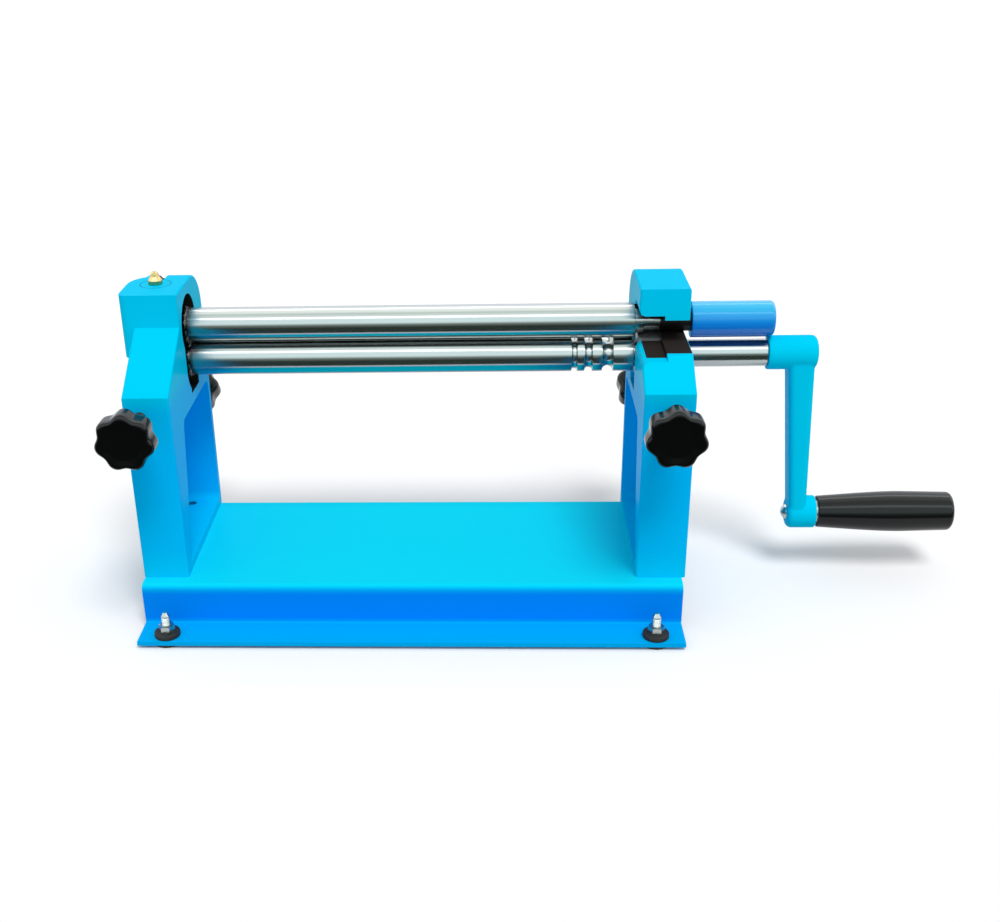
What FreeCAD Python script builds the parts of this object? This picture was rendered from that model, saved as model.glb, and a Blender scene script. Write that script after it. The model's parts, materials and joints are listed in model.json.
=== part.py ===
import FreeCAD, Part
import math
import os
import Sketcher

# Bench slip roll machine. Millimetres. +X runs along the rolls towards the crank,
# +Y from the operator to the back, +Z up. Heights are taken from the underside of the
# foot pads, depths from the plane of the two pinch rolls and lengths from mid-span.

document = FreeCAD.newDocument("slip_roll")
sheet = document.addObject("Spreadsheet::Sheet", "Sizes")
sheet_rows = []
sub_parts = []


class Size:
    """A length, angle or ratio that knows its number and the sheet formula behind it."""

    def __init__(self, number, formula):
        self.number = float(number)
        self.formula = formula

    def __add__(self, other):
        other = as_size(other)
        return Size(self.number + other.number, f"({self.formula} + {other.formula})")

    def __sub__(self, other):
        other = as_size(other)
        return Size(self.number - other.number, f"({self.formula} - {other.formula})")

    def __mul__(self, other):
        other = as_size(other)
        return Size(self.number * other.number, f"({self.formula} * {other.formula})")

    def __truediv__(self, other):
        other = as_size(other)
        return Size(self.number / other.number, f"({self.formula} / {other.formula})")

    def __neg__(self):
        return Size(-self.number, f"(0 - {self.formula})")

    def __rsub__(self, other):
        return as_size(other) - self

    __radd__ = __add__
    __rmul__ = __mul__


def as_size(value):
    return value if isinstance(value, Size) else Size(value, repr(value))


def sine(angle):
    return Size(math.sin(math.radians(angle.number)), f"sin({angle.formula})")


def cosine(angle):
    return Size(math.cos(math.radians(angle.number)), f"cos({angle.formula})")


def root(value):
    return Size(math.sqrt(value.number), f"sqrt({value.formula})")


def size(alias, number, note):
    """Write one driving dimension into the sheet and hand it back as a Size."""
    sheet_rows.append(alias)
    row = len(sheet_rows)
    sheet.set(f"A{row}", note)
    sheet.set(f"B{row}", str(number))
    sheet.setAlias(f"B{row}", alias)
    return Size(number, f"Sizes.{alias}")


# ---------------------------------------------------------------- driving dimensions

# Where the part's own origin lies, under the middle of the overall box.
origin_x = size("origin_x", 97.4, "origin, to the right of mid-span")
origin_y = size("origin_y", -13.155, "origin, behind the roll plane")

# Clearances
running = size("running_clearance", 0.05, "radial, shaft in its bush")
seat = size("seat_clearance", 0.02, "radial, pieces fixed to each other")
free = size("free_clearance", 0.3, "between pieces that pass each other")
slide = size("slide_clearance", 0.1, "sliding block in its guide")

# Base: a steel sheet bent to a hat section
pad_thick = size("pad_thickness", 2.5, "rubber pad under a foot")
pad_radius = size("pad_radius", 9.0, "rubber pad and washer")
plate = size("plate_thickness", 3.0, "base sheet")
base_rise = size("base_rise", 32.5, "foot flange underside to base top")
left_overhang = size("left_overhang", 0.5, "left frame past the base's end")
right_overhang = size("right_overhang", 2.5, "right frame past the base's end")
base_front = size("base_front", 91.0, "base front edge ahead of the rolls")
base_rear = size("base_rear", 46.0, "base and frame rear face behind the rolls")
flange_width = size("flange_width", 27.0, "foot flange")
bend_inside = size("bend_inside", 1.0, "inside radius of the sheet's bends")

# Feet
foot_end_inset = size("foot_end_inset", 19.5, "foot studs from the base's end")
foot_inset = size("foot_inset", 9.5, "foot studs from the flange's edge")
stud_radius = size("stud_radius", 3.0, "foot stud")
stud_rise = size("stud_rise", 9.7, "stud above its nut")
foot_washer = size("foot_washer_thickness", 3.5, "rubber washer on the flange")
foot_nut = size("foot_nut_height", 5.0, "foot nut")
foot_nut_flats = size("foot_nut_flats", 10.0, "foot nut across flats")

# Side frames
gap = size("frame_gap", 314.0, "clear distance between the side frames")
left_thick = size("left_frame_thickness", 32.0, "left side frame")
right_thick = size("right_frame_thickness", 34.0, "right side frame")
outer_wall = size("outer_wall", 5.0, "outer wall left by the pockets")
leg_front = size("leg_front", 79.0, "leg front face ahead of the rolls")
shoulder_rise = size("shoulder_rise", 135.5, "base top to the foot of the incline")
incline_rise = size("incline_rise", 168.0, "base top to the head of the incline")
head_front = size("head_front", 28.5, "head front face ahead of the rolls")
head_rise = size("head_rise", 191.0, "base top to frame top")
head_round = size("head_round", 28.0, "round of the head into the rear face")
edge_round = size("frame_edge_round", 1.6, "cast edge")
foot_plate = size("foot_plate", 6.0, "frame's sole inside the pocket")
pocket_rise = size("pocket_rise", 106.0, "base top to the pocket's roof")
pocket_waist = size("pocket_waist_rise", 57.0, "base top to the bend in the pocket's front")
front_wall_low = size("front_wall_low", 7.0, "front wall at the sole")
front_wall_waist = size("front_wall_waist", 25.0, "front wall at the bend")
front_wall_high = size("front_wall_high", 34.0, "front wall under the roof")
rear_wall = size("rear_wall", 7.0, "pocket to the rear face")
pocket_round = size("pocket_round", 6.0, "pocket corners")
left_line = size("left_line", 177.5, "left screws and trunnion from mid-span")
right_line = size("right_line", 173.5, "right screws from mid-span")

# Left head: round boss about the trunnion
boss_drop = size("boss_drop", 45.0, "boss height down from the frame top")
cheek_round = size("cheek_round", 6.0, "front corner of the left head")
stop_slot_width = size("stop_slot_width", 7.0, "slot behind the trunnion")
stop_slot_depth = size("stop_slot_depth", 6.0, "slot behind the trunnion")

# Frame bolts
bolt_radius = size("bolt_radius", 4.0, "frame bolt")
bolt_flats = size("bolt_flats", 13.0, "frame bolt head across flats")
bolt_head = size("bolt_head_height", 5.3, "frame bolt head")
bolt_inset = size("bolt_end_inset", 1.0, "bolt end below the sole's top")
bolt_washer = size("bolt_washer_thickness", 1.6, "frame bolt washer")
bolt_washer_radius = size("bolt_washer_radius", 8.0, "frame bolt washer")
bolt_front = size("bolt_front", 58.0, "front frame bolt ahead of the rolls")
bolt_rear = size("bolt_rear", 30.0, "rear frame bolt behind the rolls")

# Rolls
roll_radius = size("roll_radius", 12.1, "all three rolls")
upper_rise = size("upper_axis_rise", 161.0, "base top to the upper roll axis")
pinch = size("pinch_spacing", 24.7, "upper axis down to the lower axis")
roll_inset = size("roll_inset", 0.8, "roll end short of the frame face")
collar_radius = size("collar_radius", 9.0, "shoulder beside each roll end")
journal_radius = size("journal_radius", 7.0, "lower journals and gear seats")
bush_wall = size("bush_wall", 2.0, "bush wall")

# Gear pair at the left end
gear_teeth = 15
gear_inset = size("gear_inset", 1.0, "gear behind the frame's inner face")
gear_width = size("gear_width", 5.8, "gear face")
gear_tip = size("gear_tip_radius", 13.4, "over the teeth")
gear_root = size("gear_root_radius", 10.5, "between the teeth")
gear_clear = size("gear_clear_radius", 14.1, "clear of the teeth, for the cutter")
tooth_tip = size("tooth_tip_width", 0.75, "tooth at its tip")
tooth_root = size("tooth_root_width", 1.8, "tooth at its root")
mesh_lag = size("mesh_lag", 5.0, "degrees that the upper gear trails in its side play")
gear_chamber = size("gear_chamber_depth", 8.8, "gear chamber behind the inner face")
upper_hole = size("upper_hole_radius", 22.0, "hole round the upper gear")
lower_slot = size("lower_slot_radius", 19.0, "slot round the lower gear")
lower_slot_drop = size("lower_slot_drop", 23.0, "slot bottom below the lower axis")
key_width = size("key_width", 4.0, "gear key, square")

# Swivelling carrier of the upper roll
trunnion_radius = size("trunnion_radius", 10.8, "vertical trunnion in the left head")
trunnion_under = size("trunnion_under", 11.0, "trunnion below the upper axis")
passage_radius = size("passage_radius", 8.0, "way for the journal into the trunnion")
passage_depth = size("passage_depth", 14.0, "passage behind the inner face")
upper_left_journal = size("upper_left_journal_radius", 5.2, "journal in the trunnion")
upper_left_bush_wall = size("upper_left_bush_wall", 2.2, "bush in the trunnion")
upper_left_bush_half = size("upper_left_bush_half", 7.6, "half the trunnion bush length")
journal_past = size("journal_past_trunnion", 8.5, "journal end beyond the trunnion axis")
oiler_radius = size("oiler_radius", 5.0, "oiler body")
oiler_height = size("oiler_height", 9.0, "oiler above the frame top")
oiler_shelf = size("oiler_shelf", 3.2, "oiler's wide foot")
oiler_waist = size("oiler_waist_radius", 3.0, "oiler above its foot")
oiler_slope = size("oiler_slope", 5.4, "where the oiler's waist starts")
oiler_cap = size("oiler_cap", 1.2, "oiler's low conical cap")
oiler_stem = size("oiler_stem_radius", 2.5, "oiler thread in the trunnion")
oiler_stem_length = size("oiler_stem_length", 7.0, "oiler thread in the trunnion")
oil_way = size("oil_way_radius", 1.0, "oil way down to the bush")

# Right end of the upper roll: open slot, black bush, blue bar
slot_half_outer = size("slot_half_outer", 8.2, "half height, outer part of the slot")
slot_half_inner = size("slot_half_inner", 11.2, "half height, inner part of the slot")
slot_inner_depth = size("slot_inner_depth", 17.0, "inner part of the slot")
slot_mouth_round = size("slot_mouth_round", 4.0, "rounded inner mouth of the slot")
upper_bush_radius = size("upper_bush_radius", 8.0, "bush in the slot")
upper_right_journal = size("upper_right_journal_radius", 5.5, "journal in the right bush")
neck_radius = size("neck_radius", 7.5, "neck in the inner part of the slot")
bar_radius = size("bar_radius", 12.5, "release bar")
bar_start = size("bar_start", 4.2, "release bar clear of the frame's outer face")
bar_length = size("bar_length", 57.0, "release bar")
bar_end_bevel = size("bar_end_bevel", 3.0, "release bar's free end")
bar_socket = size("bar_socket", 9.0, "bush spigot inside the bar")
bar_screw_radius = size("bar_screw_radius", 2.5, "grub screw in the release bar")

# Lower bearing blocks and their wedges
block_half = size("block_half_width", 12.4, "half width of a lower block")
left_block_up = size("left_block_up", 10.5, "left block above the lower axis")
right_block_up = size("right_block_up", 15.2, "right block above the lower axis")
block_down = size("block_down", 14.0, "block below the lower axis, at its middle")
block_inset = size("right_block_inset", 2.0, "right block behind the inner face")
wedge_slope = size("wedge_slope", 3.0, "wedge length per unit of rise")
wedge_half_length = size("wedge_half_length", 20.0, "half the wedge")
wedge_width = size("wedge_width", 17.4, "wedge across")
channel_floor = size("channel_floor", 23.0, "wedge channel floor below the lower axis")
channel_front = size("channel_front", 31.0, "wedge channel ahead of the rolls")
channel_rear = size("channel_rear", 21.0, "wedge channel behind the rolls")
channel_height = size("channel_height", 17.0, "wedge channel")
lower_travel = size("lower_travel", 1.6, "lower roll, downwards")

# Hand screws
screw_radius = size("screw_radius", 4.0, "hand screws")
tip_radius = size("screw_tip_radius", 3.2, "screw tip held in wedge or block")
tip_length = size("screw_tip_length", 7.0, "screw tip held in wedge or block")
front_screw_drop = size("front_screw_drop", 14.6, "front screw below the lower axis")
knob_radius = size("knob_radius", 20.0, "over the knob's lobes")
knob_head = size("knob_head_length", 16.0, "lobed head")
knob_neck = size("knob_neck_length", 17.0, "tapered neck")
knob_neck_radius = size("knob_neck_radius", 9.0, "neck at the head")
knob_end_radius = size("knob_end_radius", 7.0, "neck at the screw")
knob_reach = size("front_knob_reach", 46.0, "front knob face ahead of the leg")
knob_lobes = 7
scallop_radius = size("scallop_radius", 7.0, "hollow between two lobes")
scallop_place = size("scallop_place", 24.7, "hollow's centre from the knob axis")
lobe_bevel = size("lobe_bevel", 2.0, "edges of the lobed head")
face_dish = size("face_dish", 0.8, "dished face of the knob")
screw_in_knob = size("screw_in_knob", 21.0, "screw inside the knob's neck and head")

# Rear bending roll on its slanted slides
slant = size("rear_slant", 45.0, "rear slides, degrees below level")
rear_offset = size("rear_offset", 43.0, "upper axis to rear axis, along the slide")
rear_up = size("rear_travel_up", 5.6, "rear roll, towards the upper roll")
rear_down = size("rear_travel_down", 4.0, "rear roll, away from the upper roll")
rear_journal = size("rear_journal_radius", 4.5, "rear journals")
rear_bush_wall = size("rear_bush_wall", 1.5, "rear bush wall")
rear_block_fore = size("rear_block_fore", 8.0, "rear block ahead of its bore")
rear_block_back = size("rear_block_back", 10.0, "rear block behind its bore")
rear_block_wide = size("rear_block_half_width", 9.4, "half the block across the slide")
rear_tip = size("rear_tip_length", 2.6, "screw tip in the rear block")
rear_knob_face = size("rear_knob_face", 120.0, "upper axis to the rear knob's face")

# Wire grooves near the crank end of the lower and rear rolls
groove_first = size("groove_first", 17.7, "widest groove from the roll's end")
groove_second = size("groove_second", 31.0, "middle groove from the roll's end")
groove_third = size("groove_third", 40.8, "narrow groove from the roll's end")
groove_wide = size("groove_wide_radius", 3.8, "widest groove")
groove_middle = size("groove_middle_radius", 2.7, "middle groove")
groove_narrow = size("groove_narrow_radius", 2.0, "narrow groove")

# Crank
sleeve_radius = size("sleeve_radius", 9.7, "spacer sleeve on the shaft")
hub_start = size("hub_start", 249.5, "crank hub from mid-span")
hub_length = size("hub_length", 34.5, "crank hub")
hub_radius = size("hub_radius", 12.0, "crank hub and handle boss")
arm_root = size("arm_root", 18.5, "crank arm along the shaft, at the hub")
arm_foot = size("arm_foot", 12.0, "crank arm along the shaft, at the handle")
arm_lean = size("arm_lean", 5.0, "arm's outer face, outwards over its length")
hub_proud = size("hub_proud", 2.0, "hub beyond the arm's outer face")
arm_width = size("arm_width", 21.0, "crank arm across")
crank_radius = size("crank_radius", 124.0, "shaft axis to handle axis")
handle_boss = size("handle_boss", 7.5, "boss beyond the arm")
boss_face = size("boss_face", 1.2, "boss proud of the arm's inner face")
arm_round = size("arm_round", 4.0, "cast edges of the crank")
shaft_in_hub = size("shaft_in_hub", 30.0, "shaft inside the hub")
set_screw_radius = size("set_screw_radius", 3.0, "set screw in the hub")
socket_part = size("socket_part", 0.55, "hexagon socket over its screw's radius")

# Handle
pin_radius = size("handle_pin_radius", 4.0, "handle screw")
dome_radius = size("dome_radius", 5.5, "handle screw's dome head")
dome_height = size("dome_height", 3.5, "handle screw's dome head")
dome_round = size("dome_round", 2.4, "handle screw's dome head")
handle_washer = size("handle_washer_thickness", 1.2, "washer between grip and boss")
handle_washer_radius = size("handle_washer_radius", 9.0, "washer between grip and boss")
grip_length = size("grip_length", 97.0, "grip")
grip_slim = size("grip_slim_radius", 11.5, "grip beside the arm")
grip_swell = size("grip_swell_radius", 13.6, "grip before its widest place")
grip_full = size("grip_full_radius", 15.0, "grip at its widest place")
grip_tail = size("grip_tail_radius", 14.1, "grip beside its free end")
swell_part = size("swell_part", 0.3, "share of the grip ahead of the swell")
full_part = size("full_part", 0.55, "share of the grip ahead of its widest place")
grip_round = size("grip_round", 3.5, "rounded edge of the free end")
insert_radius = size("insert_radius", 6.0, "threaded insert in the grip")
insert_length = size("insert_length", 30.0, "threaded insert in the grip")

document.recompute()

# ---------------------------------------------------------------- places worked out once

base_top = pad_thick + base_rise
frame_top = base_top + head_rise
upper_z = base_top + upper_rise
lower_z = upper_z - pinch
inner_left = -(gap / 2)
inner_right = gap / 2
outer_left = inner_left - left_thick
outer_right = inner_right + right_thick
roll_half = gap / 2 - roll_inset
gear_right = inner_left - gear_inset
gear_left = gear_right - gear_width
rear_y = rear_offset * cosine(slant)
rear_z = upper_z - rear_offset * sine(slant)
left_pocket = left_thick - outer_wall
right_pocket = right_thick - outer_wall
handle_z = lower_z - crank_radius
base_left = outer_left + left_overhang
base_right = outer_right - right_overhang
boss_radius = left_line - gap / 2
hub_end = hub_start + hub_length
arm_right = hub_end - hub_proud
arm_left = arm_right - arm_root
foot_right = arm_right + arm_lean
foot_left = foot_right - arm_foot
boss_start = foot_left - boss_face
boss_end = foot_right + handle_boss
front_screw_z = lower_z - front_screw_drop
bush_bore = journal_radius + running
bush_outside = bush_bore + bush_wall
rear_bush_bore = rear_journal + running
rear_bush_outside = rear_bush_bore + rear_bush_wall
shaft_end = hub_start + shaft_in_hub
bar_left = outer_right + bar_start
bar_right = bar_left + bar_length
left_x = -left_line
right_x = right_line


# ---------------------------------------------------------------- drawing helpers

def origin_plane(body, role):
    for feature in body.Origin.OriginFeatures:
        if feature.Role == role:
            return feature
    raise ValueError(role)


def new_body(label):
    body = document.addObject("PartDesign::Body", label)
    body.Label = label
    return body


def place(item, x=0, y=0, z=0):
    """Put an item at machine coordinates; the part's origin is under the overall box."""
    places = {"x": as_size(x) - origin_x, "y": as_size(y) - origin_y, "z": as_size(z)}
    for axis, distance in places.items():
        item.setExpression(f"Placement.Base.{axis}", distance.formula)
    return item


def keep(item):
    """Note an item as one of the machine's sub-parts."""
    sub_parts.append(item)
    return item


def new_sketch(body, plane, offset=0):
    sketch = body.newObject("Sketcher::SketchObject", body.Name + "_sketch")
    sketch.AttachmentSupport = (origin_plane(body, plane), [""])
    sketch.MapMode = "FlatFace"
    sketch.setExpression("AttachmentOffset.Base.z", as_size(offset).formula)
    return sketch


def bind(sketch, kind, *where, value):
    """Add a dimension to a sketch and tie it to the sheet."""
    index = sketch.addConstraint(Sketcher.Constraint(kind, *where, value.number))
    sketch.setExpression(f"Constraints[{index}]", value.formula)


def locate(sketch, geometry, end, x, y):
    bind(sketch, "DistanceX", -1, 1, geometry, end, value=as_size(x))
    bind(sketch, "DistanceY", -1, 1, geometry, end, value=as_size(y))


def circle(sketch, x, y, radius):
    centre = FreeCAD.Vector(as_size(x).number, as_size(y).number, 0)
    ring = Part.Circle(centre, FreeCAD.Vector(0, 0, 1), as_size(radius).number)
    index = sketch.addGeometry(ring, False)
    locate(sketch, index, 3, x, y)
    bind(sketch, "Radius", index, value=as_size(radius))


def corner_arc(before, corner, after, radius):
    """The arc that rounds one corner, its two tangent points and its turning sense."""
    inward = (corner - before).normalize()
    outward = (after - corner).normalize()
    turn = inward.getAngle(outward)
    reach = radius * math.tan(turn / 2)
    start = corner - inward * reach
    finish = corner + outward * reach
    left_turn = inward.cross(outward).z > 0
    side = FreeCAD.Vector(-inward.y, inward.x, 0) * (1 if left_turn else -1)
    centre = start + side * radius
    from_point = start if left_turn else finish
    to_point = finish if left_turn else start
    first = math.atan2(from_point.y - centre.y, from_point.x - centre.x)
    last = math.atan2(to_point.y - centre.y, to_point.x - centre.x)
    if last < first:
        last += 2 * math.pi
    ring = Part.Circle(centre, FreeCAD.Vector(0, 0, 1), radius)
    return Part.ArcOfCircle(ring, first, last), start, finish, left_turn


def outline(sketch, corners):
    """Draw a closed outline through corners (x, y) or (x, y, rounding radius)."""
    points = []
    for corner in corners:
        points.append(FreeCAD.Vector(as_size(corner[0]).number, as_size(corner[1]).number, 0))
    count = len(points)
    starts = list(points)
    finishes = list(points)
    arcs = {}
    for index, corner in enumerate(corners):
        if len(corner) == 3:
            before = points[index - 1]
            after = points[(index + 1) % count]
            arc, start, finish, left_turn = corner_arc(before, points[index], after, corner[2].number)
            starts[index] = finish
            finishes[index] = start
            arcs[index] = (sketch.addGeometry(arc, False), left_turn)
    lines = []
    for index in range(count):
        line = Part.LineSegment(starts[index], finishes[(index + 1) % count])
        lines.append(sketch.addGeometry(line, False))
    for index, corner in enumerate(corners):
        before = lines[index - 1]
        after = lines[index]
        if index not in arcs:
            sketch.addConstraint(Sketcher.Constraint("Coincident", before, 2, after, 1))
            locate(sketch, after, 1, corner[0], corner[1])
            continue
        arc, left_turn = arcs[index]
        near, far = (1, 2) if left_turn else (2, 1)
        sketch.addConstraint(Sketcher.Constraint("Tangent", before, 2, arc, near))
        sketch.addConstraint(Sketcher.Constraint("Tangent", after, 1, arc, far))
        bind(sketch, "Radius", arc, value=corner[2])
        point = sketch.addGeometry(Part.Point(points[index]), True)
        sketch.addConstraint(Sketcher.Constraint("PointOnObject", point, 1, before))
        sketch.addConstraint(Sketcher.Constraint("PointOnObject", point, 1, after))
        locate(sketch, point, 1, corner[0], corner[1])


def rectangle(sketch, low_x, low_y, high_x, high_y):
    outline(sketch, [(low_x, low_y), (high_x, low_y), (high_x, high_y), (low_x, high_y)])


def grow(body, sketch, length):
    """Pad a sketch along its plane's normal."""
    pad = body.newObject("PartDesign::Pad", body.Name + "_pad")
    pad.Profile = sketch
    pad.setExpression("Length", as_size(length).formula)
    return pad


def carve(body, sketch, depth, along_normal=False):
    """Pocket a sketch; the volume shows that the cut meets the solid."""
    document.recompute()
    before = body.Shape.Volume
    pocket = body.newObject("PartDesign::Pocket", body.Name + "_pocket")
    pocket.Profile = sketch
    pocket.Reversed = along_normal
    pocket.setExpression("Length", as_size(depth).formula)
    document.recompute()
    if pocket.Shape.isNull() or pocket.Shape.Volume > before - 1e-6:
        raise ValueError(f"a pocket in {body.Label} cuts nothing")
    return pocket


def carve_circle(body, plane, offset, x, y, radius, depth, along_normal=False):
    sketch = new_sketch(body, plane, offset)
    circle(sketch, x, y, radius)
    return carve(body, sketch, depth, along_normal)


def revolve(body, plane, axis, corners, offset=0):
    """Turn an outline about the sketch's own axis."""
    sketch = new_sketch(body, plane, offset)
    outline(sketch, corners)
    turned = body.newObject("PartDesign::Revolution", body.Name + "_turned")
    turned.Profile = sketch
    turned.ReferenceAxis = (sketch, [axis])
    turned.Angle = 360
    return turned


def steps(*stations):
    """A solid turned profile from (start, radius) stations and a last (end,) station."""
    corners = [(stations[0][0], 0)]
    for here, beyond in zip(stations, stations[1:]):
        corners.append((here[0], here[1]))
        corners.append((beyond[0], here[1]))
    corners.append((stations[-1][0], 0))
    return corners


def tube(start, end, inside, outside):
    return [(start, inside), (end, inside), (end, outside), (start, outside)]


def ring_groove(body, x, radius):
    """A half-round wire groove, turned into a roll with three flats."""
    shoulder = radius * cosine(as_size(60))
    floor = roll_radius - radius * cosine(as_size(30))
    sketch = new_sketch(body, "XY_Plane")
    outline(sketch, [
        (x - radius, roll_radius),
        (x - shoulder, floor),
        (x + shoulder, floor),
        (x + radius, roll_radius),
        (x + radius, roll_radius + radius),
        (x - radius, roll_radius + radius),
    ])
    groove = body.newObject("PartDesign::Groove", body.Name + "_groove")
    groove.Profile = sketch
    groove.ReferenceAxis = (sketch, ["H_Axis"])
    groove.Angle = 360


def pattern(body, feature, sketch, count):
    """Repeat a feature round the axis that stands on its sketch's origin."""
    polar = body.newObject("PartDesign::PolarPattern", body.Name + "_polar")
    polar.Originals = [feature]
    polar.Axis = (sketch, ["N_Axis"])
    polar.Angle = 360
    polar.Occurrences = count
    body.Tip = polar
    document.recompute()
    return polar


def edges_where(shape, rule):
    return [f"Edge{index + 1}" for index, edge in enumerate(shape.Edges) if rule(edge)]


def round_edges(body, rule, radius):
    """Fillet the edges of the body's tip that the rule picks."""
    document.recompute()
    tip = body.Tip
    fillet = body.newObject("PartDesign::Fillet", body.Name + "_fillet")
    fillet.Base = (tip, edges_where(tip.Shape, rule))
    fillet.setExpression("Radius", radius.formula)
    document.recompute()
    return fillet


def near(value, target):
    return abs(value - target) < 0.01


def lies_at_x(edge, x):
    box = edge.BoundBox
    return near(box.XMin, x) and near(box.XMax, x)


def group(label, items):
    """Identical fasteners held in one sub-part as separate solids."""
    compound = document.addObject("Part::Compound", label)
    compound.Label = label
    compound.Links = items
    return keep(compound)


def cylinder(name, x, y, z, radius, height):
    item = document.addObject("Part::Cylinder", name)
    item.setExpression("Radius", as_size(radius).formula)
    item.setExpression("Height", as_size(height).formula)
    return place(item, x, y, z)


def hexagon(name, x, y, z, flats, height):
    item = document.addObject("Part::Prism", name)
    item.Polygon = 6
    item.setExpression("Circumradius", (flats / root(as_size(3))).formula)
    item.setExpression("Height", as_size(height).formula)
    return place(item, x, y, z)


def cut(name, base, tool):
    item = document.addObject("Part::Cut", name)
    item.Base = base
    item.Tool = tool
    return item


def fuse(name, first, second):
    item = document.addObject("Part::Fuse", name)
    item.Base = first
    item.Tool = second
    return item


# ---------------------------------------------------------------- base and feet

def foot_places():
    front = -(base_front + flange_width - foot_inset)
    rear = base_rear + flange_width - foot_inset
    ends = (base_left + foot_end_inset, base_right - foot_end_inset)
    return [(x, depth) for x in ends for depth in (front, rear)]


def frame_bolt_places():
    return [(x, y) for x in (left_x, right_x) for y in (-bolt_front, bolt_rear)]


def base_plate():
    body = new_body("base_plate")
    low = pad_thick
    shelf = pad_thick + plate
    under = base_top - plate
    outer_bend = bend_inside + plate
    sketch = new_sketch(body, "YZ_Plane", base_left)
    outline(sketch, [
        (-(base_front + flange_width), low),
        (-(base_front - plate), low, outer_bend),
        (-(base_front - plate), under, bend_inside),
        (base_rear - plate, under, bend_inside),
        (base_rear - plate, low, outer_bend),
        (base_rear + flange_width, low),
        (base_rear + flange_width, shelf),
        (base_rear, shelf, bend_inside),
        (base_rear, base_top, outer_bend),
        (-base_front, base_top, outer_bend),
        (-base_front, shelf, bend_inside),
        (-(base_front + flange_width), shelf),
    ])
    grow(body, sketch, base_right - base_left)
    holes = new_sketch(body, "XY_Plane", shelf)
    for x, y in foot_places():
        circle(holes, x, y, stud_radius + free / 2)
    carve(body, holes, plate)
    bolt_holes = new_sketch(body, "XY_Plane", base_top)
    for x, y in frame_bolt_places():
        circle(bolt_holes, x, y, bolt_radius + free / 2)
    carve(body, bolt_holes, plate)
    keep(place(body))


def feet():
    shelf = pad_thick + plate
    nut_z = shelf + foot_washer
    stud_length = nut_z + foot_nut + stud_rise - pad_thick
    pads, washers, nuts, studs = [], [], [], []
    for index, (x, y) in enumerate(foot_places()):
        pads.append(cylinder(f"foot_pad_{index}", x, y, 0, pad_radius, pad_thick))
        ring = cylinder(f"washer_disc_{index}", x, y, shelf, pad_radius, foot_washer)
        hole = cylinder(f"washer_hole_{index}", x, y, shelf, stud_radius + seat, foot_washer)
        washers.append(cut(f"foot_washer_{index}", ring, hole))
        nut = hexagon(f"nut_block_{index}", x, y, nut_z, foot_nut_flats, foot_nut)
        hole = cylinder(f"nut_hole_{index}", x, y, nut_z, stud_radius + seat, foot_nut)
        nuts.append(cut(f"foot_nut_{index}", nut, hole))
        studs.append(cylinder(f"foot_stud_{index}", x, y, pad_thick, stud_radius, stud_length))
    group("foot_pads", pads)
    group("foot_washers", washers)
    group("foot_nuts", nuts)
    group("foot_studs", studs)


def frame_bolts():
    under = base_top - plate
    head_top = under - bolt_washer
    reach = plate + foot_plate - bolt_inset + bolt_washer
    bolts, washers = [], []
    for index, (x, y) in enumerate(frame_bolt_places()):
        head = hexagon(f"bolt_head_{index}", x, y, head_top - bolt_head, bolt_flats, bolt_head)
        shank = cylinder(f"bolt_shank_{index}", x, y, head_top, bolt_radius, reach)
        bolts.append(fuse(f"frame_bolt_{index}", head, shank))
        disc = cylinder(f"bolt_washer_disc_{index}", x, y, head_top, bolt_washer_radius, bolt_washer)
        hole = cylinder(f"bolt_washer_hole_{index}", x, y, head_top, bolt_radius + seat, bolt_washer)
        washers.append(cut(f"frame_bolt_washer_{index}", disc, hole))
    group("frame_bolts", bolts)
    group("frame_bolt_washers", washers)


# ---------------------------------------------------------------- side frames

def frame_slab(label, inner, outer, thickness):
    """The casting's outline, as thick as the frame, with its edges rounded."""
    body = new_body(label)
    low = inner if inner.number < outer.number else outer
    sketch = new_sketch(body, "YZ_Plane", low)
    outline(sketch, [
        (-leg_front, base_top),
        (base_rear, base_top),
        (base_rear, frame_top, head_round),
        (-head_front, frame_top),
        (-head_front, base_top + incline_rise),
        (-leg_front, base_top + shoulder_rise),
    ])
    grow(body, sketch, thickness)
    return body


def side_rule(faces, above):
    """Edges of the slab's two faces, leaving the sole's own edges sharp."""
    def rule(edge):
        on_face = any(lies_at_x(edge, face.number) for face in faces)
        return on_face and edge.BoundBox.ZMax > above.number + 1
    return rule


def lower_pocket(body, inner, depth, towards_minus):
    """The hollow in the leg, open on the machine's inner side."""
    roof = base_top + pocket_rise
    sole = base_top + foot_plate
    sketch = new_sketch(body, "YZ_Plane", inner)
    outline(sketch, [
        (-(leg_front - front_wall_low), sole, pocket_round),
        (base_rear - rear_wall, sole, pocket_round),
        (base_rear - rear_wall, roof, pocket_round),
        (-(leg_front - front_wall_high), roof, pocket_round),
        (-(leg_front - front_wall_waist), base_top + pocket_waist),
    ])
    carve(body, sketch, depth, not towards_minus)


def rear_slide(body, inner, depth, towards_minus):
    """The slanted guide for the rear bearing block."""
    across = rear_block_wide + slide
    high = rear_offset - rear_up - rear_block_fore - free
    deep = rear_offset + rear_down + rear_block_back + free
    corners = []
    for along, side in ((high, -1), (high, 1), (deep, 1), (deep, -1)):
        y = along * cosine(slant) + side * across * sine(slant)
        z = upper_z - along * sine(slant) + side * across * cosine(slant)
        corners.append((y, z))
    sketch = new_sketch(body, "YZ_Plane", inner)
    outline(sketch, corners)
    carve(body, sketch, depth, not towards_minus)


def block_chamber(body, inner, depth, top, towards_minus):
    """The upright guide for a lower bearing block."""
    half = block_half + slide
    sketch = new_sketch(body, "YZ_Plane", inner)
    rectangle(sketch, -half, lower_z - channel_floor, half, top)
    carve(body, sketch, depth, not towards_minus)


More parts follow.
